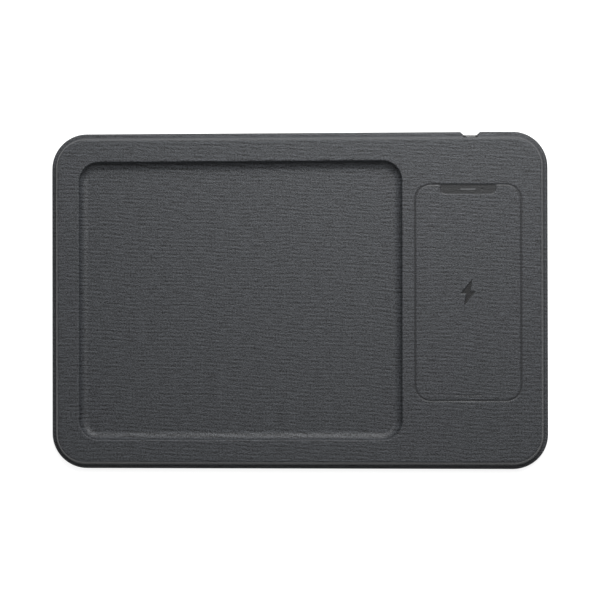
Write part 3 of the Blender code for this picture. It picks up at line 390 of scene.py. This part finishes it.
def linear(code):
    """Blender's linear colour for an sRGB hex code."""
    share = np.array([int(code[k:k + 2], 16) for k in (1, 3, 5)]) / 255
    made = np.where(share <= 0.04045, share / 12.92, ((share + 0.055) / 1.055) ** 2.4)
    return (*made.tolist(), 1.0)


def new_material(name):
    """An empty material's node tree and its Principled shader."""
    made = bpy.data.materials.new(name)
    made.use_nodes = True
    return made, made.node_tree, made.node_tree.nodes["Principled BSDF"]


def add(tree, kind, inputs=None, **settings):
    """Adds a shader node with its settings, feeds its inputs with values or sockets, and returns its first
    working output."""
    made = tree.nodes.new("ShaderNode" + kind)
    for name, value in settings.items():
        setattr(made, name, value)
    for name, value in (inputs or {}).items():
        if isinstance(value, bpy.types.NodeSocket):
            tree.links.new(value, made.inputs[name])
        else:
            made.inputs[name].default_value = value
    return next(output for output in made.outputs if output.enabled)


def feed(tree, shader, **sockets):
    """Sets or links the shader's inputs, named with _ for spaces."""
    for name, value in sockets.items():
        target = shader.inputs[name.replace("_", " ")]
        if isinstance(value, bpy.types.NodeSocket):
            tree.links.new(value, target)
        else:
            target.default_value = value


# The cloth's ribs and its threads, in mm from one to the next
RIB_PITCH, THREAD_PITCH = 2.65, 0.44


def woven_polyester_pu_coat():
    """Woven polyester, matt polyurethane coat: slate grey, with ribs that come and go along the weft,
    darker and lighter slubs in the yarn, and a dull gloss where the coat turns over an edge. The hot tool
    leaves the marks darker and smoother, and the darker outline groove is partly painted shade."""
    made, tree, shader = new_material("woven_polyester_matt_pu_coat")
    flat = add(tree, "UVMap", uv_map="cut_sheet")
    mm = add(tree, "VectorMath", {0: flat, 1: (1000.0,) * 3}, operation="MULTIPLY")
    press_and_shade = add(tree, "Attribute", attribute_name="press_and_shade").node.outputs["Fac"]
    parts = add(tree, "SeparateXYZ", {0: mm})
    along, across = parts, parts.node.outputs["Y"]

    sway_at = add(tree, "VectorMath", {0: mm, 1: (0.022, 0.012, 1.0)}, operation="MULTIPLY")
    sway = add(tree, "TexNoise", {"Vector": sway_at, "Scale": 1.0, "Detail": 2.0})
    laid = add(tree, "Math", {0: along, 1: 0.045, 2: across}, operation="MULTIPLY_ADD")
    bent = add(tree, "Math", {0: sway, 1: 7.0, 2: laid}, operation="MULTIPLY_ADD")
    turn = add(tree, "Math", {0: bent, 1: 2 * math.pi / RIB_PITCH}, operation="MULTIPLY")
    rib = add(tree, "Math", {0: turn}, operation="SINE")
    strong_at = add(tree, "VectorMath", {0: mm, 1: (0.16, 0.22, 1.0)}, operation="MULTIPLY")
    strong = add(tree, "TexNoise", {"Vector": strong_at, "Scale": 1.0, "Detail": 1.5})
    strength = add(tree, "MapRange", {0: strong, 1: 0.38, 2: 0.66, 3: 0.1, 4: 1.0})
    ribs = add(tree, "Math", {0: rib, 1: strength}, operation="MULTIPLY")

    slub_at = add(tree, "VectorMath", {0: mm, 1: (0.13, 1.3, 1.0)}, operation="MULTIPLY")
    slub = add(tree, "TexNoise", {"Vector": slub_at, "Scale": 1.0, "Detail": 2.0, "Roughness": 0.6})
    speck_at = add(tree, "VectorMath", {0: mm, 1: (0.95, 1.35, 1.0)}, operation="MULTIPLY")
    speck = add(tree, "TexNoise", {"Vector": speck_at, "Scale": 1.0, "Detail": 3.0, "Roughness": 0.7})
    thread_x = add(tree, "Math", {0: along, 1: 2 * math.pi / THREAD_PITCH}, operation="MULTIPLY")
    thread_y = add(tree, "Math", {0: across, 1: 2 * math.pi / THREAD_PITCH}, operation="MULTIPLY")
    weft = add(tree, "Math", {0: thread_x}, operation="SINE")
    warp = add(tree, "Math", {0: thread_y}, operation="SINE")
    thread = add(tree, "Math", {0: weft, 1: warp}, operation="MULTIPLY")

    height = add(tree, "Math", {0: ribs, 1: 0.21, 2: 0.5}, operation="MULTIPLY_ADD")
    for part, share, centre in ((slub, 0.9, 0.5), (speck, 2.5, 0.5), (thread, 0.05, 0.0)):
        shifted = add(tree, "Math", {0: part, 1: centre}, operation="SUBTRACT")
        height = add(tree, "Math", {0: shifted, 1: share, 2: height}, operation="MULTIPLY_ADD")
    kept = add(tree, "MapRange", {0: press_and_shade, 1: 0.0, 2: 1.0, 3: 1.0, 4: 0.45})
    level = add(tree, "Math", {0: height, 1: 0.5}, operation="SUBTRACT")
    level = add(tree, "Math", {0: level, 1: kept}, operation="MULTIPLY")
    shade = add(tree, "MapRange", {0: level, 1: -0.5, 2: 0.5, 3: 0.0, 4: 1.0})

    colour = add(tree, "ValToRGB", {0: shade})
    ramp = colour.node.color_ramp
    ramp.elements[0].position, ramp.elements[0].color = 0.1, linear("#09090A")
    ramp.elements[1].position, ramp.elements[1].color = 0.9, linear("#35373A")
    # Partly painted shade: the press value dims the colour towards near black. This is the tool's mark on
    # the notch and the bolt, and also the shade in the outline's groove.
    press_and_shade_fade = add(tree, "MapRange", {0: press_and_shade, 1: 0.0, 2: 1.0, 3: 0.0, 4: 0.9})
    dim = add(tree, "Mix", {0: press_and_shade_fade, 6: colour, 7: linear("#0B0B0B")}, data_type="RGBA")
    rough = add(tree, "MapRange", {0: shade, 1: 0.2, 2: 0.8, 3: 0.52, 4: 0.42})
    bump = add(tree, "Bump", {"Height": level, "Distance": 0.12 * MM, "Strength": 1.0})
    feed(tree, shader, Base_Color=dim, Roughness=rough, Normal=bump, Specular_IOR_Level=0.2)
    return made


# The sheet is cut 357 mm by 251 mm, its size when the rim is laid flat
skin = build_skin()
skin.data.materials.append(woven_polyester_pu_coat())
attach(skin, "root")
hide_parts("fabric_skin")

# ---------------------------------------------------------------------------- moulded body
# The upper shell under the cloth and the base cover are moulded in black ABS with a fine spark-eroded
# grain. The cover is let in flush with the turned-in cloth and held by six zinc-plated screws, each under
# a rubber foot.

def object_mm(tree, stretch=(1.0, 1.0, 1.0)):
    """The place on the object in millimetres, stretched along each axis."""
    place = add(tree, "TexCoord").node.outputs["Object"]
    scale = tuple(1000.0 * share for share in stretch)
    return add(tree, "VectorMath", {0: place, 1: scale}, operation="MULTIPLY")


def grained(name, dark, light, rough, grain, relief, detail=3.0, stretch=(1.0, 1.0, 1.0), **finish):
    """A material whose colour and roughness follow a noise with the given number of grains per millimetre,
    and whose face stands up by it by the relief in millimetres. Returns it with its tree, shader, colour
    and place."""
    made, tree, shader = new_material(name)
    place = object_mm(tree, stretch)
    noise = add(tree, "TexNoise", {"Vector": place, "Scale": grain, "Detail": detail, "Roughness": 0.6})
    tone = add(tree, "MapRange", {0: noise, 1: 0.3, 2: 0.7})
    colour = add(tree, "Mix", {0: tone, 6: linear(dark), 7: linear(light)}, data_type="RGBA")
    gloss = add(tree, "MapRange", {0: tone, 3: rough + 0.08, 4: rough - 0.08})
    bump = add(tree, "Bump", {"Height": noise, "Distance": relief * MM})
    feed(tree, shader, Base_Color=colour, Roughness=gloss, Normal=bump, **finish)
    return made, tree, shader, colour, place


def dress(material, *names):
    """Gives the material to CAD nodes."""
    for name in names:
        nodes[name].data.materials.clear()
        nodes[name].data.materials.append(material)


# ABS, spark-eroded: near black, an even pebbled grain of 0.3 mm that keeps it from shining
abs_grain = grained("abs_black_spark_eroded", "#141416", "#222225", 0.55, 3.0, 0.03)[0]
dress(abs_grain, "upper_shell")

COVER_INSET, COVER_TOP_Z = 6.9 * MM, 3.0 * MM
FOOT_R, FOOT_TOP_Z = 6.0 * MM, 1.3 * MM
SEAT_R, SEAT_Z = 6.3 * MM, 1.6 * MM
FOOT_PLACES = {
    "front_left": (-147.02, -94.02), "front_middle": (0, -96.6), "front_right": (147.02, -94.02),
    "back_left": (-147.02, 94.02), "back_middle": (0, 96.6), "back_right": (147.02, 94.02)}


def circle(middle, radius, count=64):
    """Points and outward normals round a circle."""
    turn = np.arange(count) * (2 * math.pi / count)
    out = np.stack([np.cos(turn), np.sin(turn)], axis=1)
    return np.asarray(middle) + out * radius, out


def numbered(*grids):
    """Vertex numbers in the shape of each grid of points, one grid after the other, and all the points."""
    starts = np.cumsum([0] + [grid[..., 0].size for grid in grids])
    numbers = [a + np.arange(grid[..., 0].size).reshape(grid.shape[:2]) for a, grid in zip(starts, grids)]
    return numbers, np.vstack([grid.reshape(-1, 3) for grid in grids])


def build_cover():
    """A plate inside the turned-in edge, carried round the pad's outline with a rounded lower edge, its flat
    underside filled between that edge and the round seats sunk for the feet."""
    edge, _ = rounded_line(
        [(COVER_INSET + 0.8 * MM, COVER_TOP_Z), (COVER_INSET, COVER_TOP_Z), (COVER_INSET, UNDER_Z),
         (COVER_INSET + 0.8 * MM, UNDER_Z)], np.array([0.3, 0.4]) * MM, 2 * MM, steps=5)
    seat, _ = rounded_line(
        [(-0.25 * MM, UNDER_Z), (0, UNDER_Z), (0, SEAT_Z), (0.8 * MM, SEAT_Z)], np.array([0.15, 0.15]) * MM,
        2 * MM, steps=4)
    seats = [carried(*circle(np.array(at) * MM, SEAT_R), seat) for at in FOOT_PLACES.values()]
    (rim, *dips), points = numbered(carried(pad_path, pad_out, edge), *seats)
    under = flat_between([rim[-1]] + [dip[0] for dip in dips], points[:, :2])
    faces = grid_quads(rim, round_it=True).reshape(-1, 4).tolist() + [rim[0].tolist()] + under.tolist()
    for dip in dips:
        faces += grid_quads(dip, round_it=True).reshape(-1, 4).tolist() + [dip[-1].tolist()]
    return make_piece("base_cover", points, faces)


cover = build_cover()
cover.data.materials.append(abs_grain)
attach(cover, "root")
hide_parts("bottom_cover")

# Steel, bright zinc: pale blue-grey metal, faintly brushed by the plating barrel
zinc = grained("steel_bright_zinc", "#9A9CA0", "#C4C6C9", 0.3, 2.5, 0.01, stretch=(1, 1, 4), Metallic=1.0)[0]
dress(zinc, *[name for name in nodes if "screw" in name])

# ---------------------------------------------------------------------------- feet
# Six round pads of moulded silicone rubber, stuck into seats in the cover, over its screws. They have a
# rounded edge and three fine grip rings.

# Silicone rubber, moulded: dark grey, soft and nearly without shine, with a dusting of lint and mould grain
silicone = grained("silicone_rubber_moulded", "#17181A", "#26272A", 0.75, 1.6, 0.02, detail=5.0)[0]


def build_foot(name, middle):
    """A disc turned about its middle: flat top, rounded edges, and a face with three rings cut as cosine
    waves 0.12 mm deep and 1.2 mm apart."""
    inset = np.linspace(0.6 * MM, 5.6 * MM, 60)
    ringed = (inset > 0.9 * MM) & (inset < 4.5 * MM)
    dip = np.where(ringed, 0.06 * MM * (1 - np.cos((inset - 0.9 * MM) * (2 * math.pi / (1.2 * MM)))), 0)
    side, _ = rounded_line(
        [(1.5 * MM, FOOT_TOP_Z), (0, FOOT_TOP_Z), (0, 0), (0.6 * MM, 0)], np.array([0.2, 0.4]) * MM, MM,
        steps=5)
    section = np.vstack([side, np.stack([inset, dip], axis=1)[1:]])
    (rows,), points = numbered(carried(*circle(middle, FOOT_R, 96), section))
    faces = grid_quads(rows, round_it=True).reshape(-1, 4).tolist() + [rows[0].tolist(), rows[-1].tolist()]
    foot = make_piece(name, points, faces)
    foot.data.materials.append(silicone)
    return foot


for place, at in FOOT_PLACES.items():
    foot = build_foot("rubber_foot_" + place, np.array(at) * MM)
    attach(foot, "root")
    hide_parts("foot_" + place)

# ---------------------------------------------------------------------------- socket
# A USB-C socket soldered to the board's back edge: a drawn steel shell round a moulded tongue with
# gold-plated contacts. A smooth ABS bezel lines the hole in the wall and stands 0.15 mm proud of the
# cloth.

BEZEL_SIZE = np.array([10.54, 4.8]) * MM
SOCKET_SIZE = np.array([8.94, 3.2]) * MM


def build_tube(name, size, corners, radii, closed_back):
    """A section of (inset, place along Y) carried round the socket's outline, a rectangle whose ends are
    half circles, about an axis along Y. The section runs from the back end round the mouth."""
    section, _ = rounded_line(corners, radii, 0.8 * MM, steps=4)
    ends, flats = [0, 1], even(6, 1)
    path, out = rounded_path(size, size[1] / 2 - 0.001 * MM, (0, 0), [ends, flats, ends, flats], 14)
    grid = carried(path, out, section)[..., [0, 2, 1]] + (PORT_X, 0, PORT_Z)
    (rows,), points = numbered(grid)
    faces = grid_quads(rows, round_it=True).reshape(-1, 4).tolist()
    if closed_back:
        faces += [rows[0].tolist(), rows[-1].tolist()]
    else:
        faces += grid_quads(np.stack([rows[-1], rows[0]]), round_it=True).reshape(-1, 4).tolist()
    return make_piece(name, points, faces)


BEZEL_BACK, BEZEL_FACE, BEZEL_WALL = 104.6 * MM, 107.85 * MM, 0.65 * MM
bezel = build_tube(
    "socket_bezel", BEZEL_SIZE,
    [(0, BEZEL_BACK), (0, BEZEL_FACE), (BEZEL_WALL, BEZEL_FACE), (BEZEL_WALL, BEZEL_BACK)],
    np.array([0.15, 0.3]) * MM, closed_back=False)
# ABS, smooth: near black with a soft gloss and the faint waviness of a polished tool
abs_smooth = grained("abs_black_smooth", "#0F0F10", "#161617", 0.3, 0.7, 0.01, detail=2.0)[0]
bezel.data.materials.append(abs_smooth)
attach(bezel, "root")
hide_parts("port_bezel")

SOCKET_FACE, SOCKET_LENGTH, SOCKET_WALL = 107.65 * MM, 7.3 * MM, 0.3 * MM
socket_back = SOCKET_FACE - SOCKET_LENGTH
socket = build_tube(
    "socket_shell", SOCKET_SIZE,
    [(0, socket_back), (0, SOCKET_FACE), (SOCKET_WALL, SOCKET_FACE), (SOCKET_WALL, socket_back + 0.4 * MM)],
    np.array([0.1, 0.12]) * MM, closed_back=True)
# Stainless steel, deep drawn: bright, with fine draw lines along the shell
drawn_steel = grained(
    "stainless_steel_deep_drawn", "#8E9094", "#C9CACC", 0.28, 3.0, 0.008, stretch=(1, 0.08, 1),
    Metallic=1.0)[0]
socket.data.materials.append(drawn_steel)
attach(socket, "root")
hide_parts("usb_socket")


def contact_tongue():
    """Glass-filled nylon, moulded, with gold contacts: dull black, and gold strips 0.25 mm wide every 0.5 mm
    across the tongue, stopping short of its tip and its sides."""
    made, tree, shader, colour, place = grained(
        "glass_filled_nylon_with_gold_contacts", "#101011", "#1B1B1C", 0.5, 4.0, 0.01)
    parts = add(tree, "SeparateXYZ", {0: place})
    from_middle = add(tree, "Math", {0: parts, 1: PORT_X / MM - 0.25}, operation="SUBTRACT")
    wave = add(tree, "Math", {0: from_middle, 1: 0.5}, operation="FLOORED_MODULO")
    strip = add(tree, "Math", {0: wave, 1: 0.25}, operation="LESS_THAN")
    away = add(tree, "Math", {0: parts, 1: PORT_X / MM}, operation="SUBTRACT")
    away = add(tree, "Math", {0: away}, operation="ABSOLUTE")
    inside = add(tree, "Math", {0: away, 1: 2.9}, operation="LESS_THAN")
    short = add(tree, "Math", {0: parts.node.outputs["Y"], 1: SOCKET_FACE / MM - 1.9}, operation="LESS_THAN")
    gold = add(tree, "Math", {0: strip, 1: inside}, operation="MULTIPLY")
    gold = add(tree, "Math", {0: gold, 1: short}, operation="MULTIPLY")
    both = add(tree, "Mix", {0: gold, 6: colour, 7: linear("#D9A441")}, data_type="RGBA")
    feed(tree, shader, Base_Color=both, Metallic=gold)
    return made


dress(contact_tongue(), "usb_tongue")

# ---------------------------------------------------------------------------- status light
# A white lamp on the board shines up a bar of frosted polycarbonate, whose end shows in a slit in the notch.

# Polycarbonate, frosted: smoke grey while the lamp is off, cloudy, with a sanded end that takes a dull shine
frosted = grained(
    "polycarbonate_frosted", "#1F2022", "#2F3134", 0.5, 2.0, 0.01, Transmission_Weight=0.25)[0]
dress(frosted, "light_guide")


def lamp_package():
    """White lamp package with phosphor: an ivory moulded body round a yellow window of silicone, cloudy with
    phosphor grains."""
    made, tree, shader, colour, place = grained(
        "lamp_white_body_phosphor", "#E4E0D2", "#F2EEE0", 0.4, 2.5, 0.01)
    parts = add(tree, "SeparateXYZ", {0: place})
    side = add(tree, "Math", {0: parts, 1: SLIT_MIDDLE[0] / MM}, operation="SUBTRACT")
    side = add(tree, "Math", {0: side}, operation="ABSOLUTE")
    window = add(tree, "Math", {0: side, 1: 1.0}, operation="LESS_THAN")
    both = add(tree, "Mix", {0: window, 6: colour, 7: linear("#D8C25A")}, data_type="RGBA")
    feed(tree, shader, Base_Color=both)
    return made


dress(lamp_package(), "status_lamp")

# ---------------------------------------------------------------------------- charging coil
# Ten turns of flat-laid litz wire on a sintered ferrite sheet. Four screws hold a nylon carrier that
# presses them up under the phone's place, and the wire's two ends run to the board in braided sleeves.

COIL_MIDDLE = PHONE_MIDDLE
COIL_R, COIL_TURNS = np.array([10.25, 22.0]) * MM, 10
COIL_Z = 9.8 * MM
OUTER_END = 0.13
WIRE = np.array([1.0, 0.98]) * MM


def build_coil():
    """A wire of rounded square section carried along a spiral: its radius grows evenly with the angle from
    the inner to the outer one. It starts on the board's side and stops there too, just short of a whole
    turn, where the outer lead begins."""
    angle = np.linspace(0, COIL_TURNS * 2 * math.pi - OUTER_END, COIL_TURNS * 72 + 1)
    radius = COIL_R[0] + WIRE[0] / 2 + (COIL_R[1] - COIL_R[0] - WIRE[0]) * angle / angle[-1]
    shape, _ = rounded_path(WIRE, 0.32 * MM, (0, 0), [[0, 1]] * 4, 4)
    r = radius[:, None] + shape[None, :, 0]
    angle = angle + math.pi / 2
    grid = np.dstack([
        COIL_MIDDLE[0] + r * np.cos(angle)[:, None], COIL_MIDDLE[1] + r * np.sin(angle)[:, None],
        COIL_Z + np.repeat(shape[None, :, 1], len(angle), axis=0)])
    (rows,), points = numbered(grid)
    faces = grid_quads(rows, round_it=True).reshape(-1, 4).tolist() + [rows[0].tolist(), rows[-1].tolist()]
    return make_piece("litz_coil", points, faces)


def litz_wire():
    """Litz wire of enamelled copper: orange-brown, glossy with enamel, its strands twisted so that fine
    slanting lines run round every turn."""
    made, tree, shader, colour, place = grained(
        "copper_litz_enamelled", "#7A3413", "#C46A2C", 0.32, 3.0, 0.02)
    around = add(tree, "VectorMath", {0: place, 1: (*(COIL_MIDDLE / MM), 0.0)}, operation="SUBTRACT")
    parts = add(tree, "SeparateXYZ", {0: around})
    turn = add(tree, "Math", {0: parts.node.outputs["Y"], 1: parts}, operation="ARCTAN2")
    reach = add(tree, "VectorMath", {0: around}, operation="LENGTH")
    reach = next(output for output in reach.node.outputs if output.enabled)
    slant = add(tree, "Math", {0: reach, 1: 9.0}, operation="MULTIPLY")
    twist = add(tree, "Math", {0: turn, 1: 180.0, 2: slant}, operation="MULTIPLY_ADD")
    strand = add(tree, "Math", {0: twist}, operation="SINE")
    bump = add(tree, "Bump", {"Height": strand, "Distance": 0.03 * MM})
    feed(tree, shader, Normal=bump, Metallic=0.7, Coat_Weight=0.4)
    return made


coil = build_coil()
coil.data.materials.append(litz_wire())
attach(coil, "root")
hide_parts("charging_coil")

# Ferrite, sintered: charcoal ceramic with a satin face, pale specks and small sinter pits
dress(grained("ferrite_sintered", "#232324", "#3A3A3C", 0.45, 2.2, 0.02, detail=6.0)[0], "ferrite_sheet")
# Nylon, glass-filled, moulded: dark grey with short fibres that show as pale streaks along the flow
nylon = grained(
    "nylon_glass_filled", "#2A2B2D", "#45464A", 0.6, 2.0, 0.02, detail=4.0, stretch=(0.35, 1.6, 1.0))[0]
dress(nylon, "coil_carrier")
# Glass-fibre sleeve, varnished: cream braid, the yarns crossing every half millimetre
sleeve = grained(
    "glass_fibre_sleeve_varnished", "#B9AE93", "#E3DAC2", 0.5, 2.0, 0.05, stretch=(1.5, 0.8, 1.5))[0]
dress(sleeve, "coil_lead_inner", "coil_lead_outer")

# ---------------------------------------------------------------------------- circuit board
# A two-sided board of glass epoxy behind the socket, screwed to four posts. It carries the charger's
# controller and its bridge, a power inductor, four resonance capacitors and the lamp, and a soft pad cools
# its underside.

BOARD_MIDDLE = np.array([113.3, 84.3])


def solder_mask():
    """Glass epoxy board, green solder mask: deep green and glossy, with copper tracks that show through as
    paler lines 1.27 mm apart, which run along the board in some places and across it in others."""
    made, tree, shader, colour, place = grained(
        "fr4_green_solder_mask", "#0C3B22", "#11502E", 0.28, 1.2, 0.005)
    parts = add(tree, "SeparateXYZ", {0: place})
    zone = add(tree, "TexNoise", {"Vector": place, "Scale": 0.2, "Detail": 1.0})
    side = add(tree, "Math", {0: zone, 1: 0.5}, operation="GREATER_THAN")
    across = add(tree, "Mix", {0: side, 2: parts.node.outputs["X"], 3: parts.node.outputs["Y"]})
    apart = add(tree, "Math", {0: across, 1: 0.635}, operation="PINGPONG")
    tracks = add(tree, "Math", {0: apart, 1: 0.17}, operation="LESS_THAN")
    paler = add(tree, "Mix", {0: tracks, 6: colour, 7: linear("#1C6B3E")}, data_type="RGBA")
    height = add(tree, "Bump", {"Height": tracks, "Distance": 0.03 * MM})
    feed(tree, shader, Base_Color=paler, Normal=height)
    return made


def ceramic_capacitor():
    """Multilayer ceramic capacitor with tinned ends: sandy brown ceramic, matt, and dull silver caps 0.55 mm
    wide at both ends."""
    made, tree, shader, colour, place = grained(
        "ceramic_with_tinned_ends", "#8A6B4A", "#A88560", 0.55, 3.0, 0.01)
    parts = add(tree, "SeparateXYZ", {0: place})
    phase = add(tree, "Math", {0: parts, 1: BOARD_MIDDLE[0] - 18.0 - 2.5}, operation="SUBTRACT")
    phase = add(tree, "Math", {0: phase, 1: 5.0}, operation="FLOORED_MODULO")
    off = add(tree, "Math", {0: phase, 1: 2.5}, operation="SUBTRACT")
    off = add(tree, "Math", {0: off}, operation="ABSOLUTE")
    end = add(tree, "Math", {0: off, 1: 1.05}, operation="GREATER_THAN")
    both = add(tree, "Mix", {0: end, 6: colour, 7: linear("#B9BABB")}, data_type="RGBA")
    feed(tree, shader, Base_Color=both, Metallic=end)
    return made


dress(solder_mask(), "circuit_board")
dress(ceramic_capacitor(), *[f"resonance_capacitor_{k}" for k in range(1, 5)])
# Epoxy moulding compound: flat black with a fine eroded grain
epoxy = grained("epoxy_moulding_compound", "#151516", "#232324", 0.6, 5.0, 0.02)[0]
dress(epoxy, "controller_chip", "bridge_chip")
# Iron powder, pressed: grey block with a sugary grain under a thin lacquer
dress(grained("iron_powder_pressed", "#4B4C4E", "#6C6D70", 0.5, 3.5, 0.04, detail=5.0)[0], "power_inductor")
# Silicone gap pad: soft pale blue, dull, dusted with filler
dress(grained("silicone_gap_pad", "#8FA9B8", "#AFC6D2", 0.8, 1.5, 0.03, detail=5.0)[0], "thermal_pad")

# ---------------------------------------------------------------------------- studio
# A pale plain floor, and soft white light from one tall panel behind the pad, a little to its right.

def panel_light(name, place, target, width, height, power):
    """A soft light panel that faces the target."""
    made = bpy.data.lights.new(name, "AREA")
    made.shape = "RECTANGLE"
    made.size = width
    made.size_y = height
    made.energy = power
    light = bpy.data.objects.new(name, made)
    bpy.context.scene.collection.objects.link(light)
    light.location = place
    light.rotation_euler = (Vector(target) - Vector(place)).to_track_quat("-Z", "Y").to_euler()
    return light


floor_mesh = bpy.data.meshes.new("studio_floor")
floor_mesh.from_pydata([(-12, -12, 0), (12, -12, 0), (12, 12, 0), (-12, 12, 0)], [], [(0, 1, 2, 3)])
floor = bpy.data.objects.new("studio_floor", floor_mesh)
bpy.context.scene.collection.objects.link(floor)
paper, tree, shader = new_material("matt_white_paper")
feed(tree, shader, Base_Color=linear("#9A9A9A"), Roughness=0.9)
feed(tree, shader, Emission_Color=linear("#FFFFFF"), Emission_Strength=0.78)
floor_mesh.materials.append(paper)
# The paper is bright enough to look white, so it is kept from throwing diffuse light back on the walls
floor.visible_diffuse = False
back_light = panel_light("back_light", (0.15, 0.62, 0.60), (0.06, 0, 0), 0.35, 0.7, 19.6)
world = bpy.data.worlds.new("studio")
bpy.context.scene.world = world
world.use_nodes = True
world.node_tree.nodes["Background"].inputs["Color"].default_value = linear("#FFFFFF")
world.node_tree.nodes["Background"].inputs["Strength"].default_value = 0.62

YAW, PITCH, ROLL = (math.radians(angle) for angle in (2.552, 0.268, -0.103))
back = Vector((math.sin(YAW) * math.cos(PITCH), -math.sin(PITCH), math.cos(YAW) * math.cos(PITCH)))
right = Vector((0, 1, 0)).cross(back).normalized()
up = back.cross(right)
right, up = right * math.cos(ROLL) + up * math.sin(ROLL), up * math.cos(ROLL) - right * math.sin(ROLL)
camera_data = bpy.data.cameras.new("camera")
camera_data.lens = 99.5
camera_data.shift_x = 0.0021
camera_data.shift_y = 0.0012
camera = bpy.data.objects.new("camera", camera_data)
bpy.context.scene.collection.objects.link(camera)
axes = Matrix((right, up, back)).transposed().to_4x4()
camera.matrix_world = Matrix.Translation(back * 1.1) @ axes
bpy.context.scene.camera = camera
bpy.context.scene.view_settings.view_transform = "Standard"
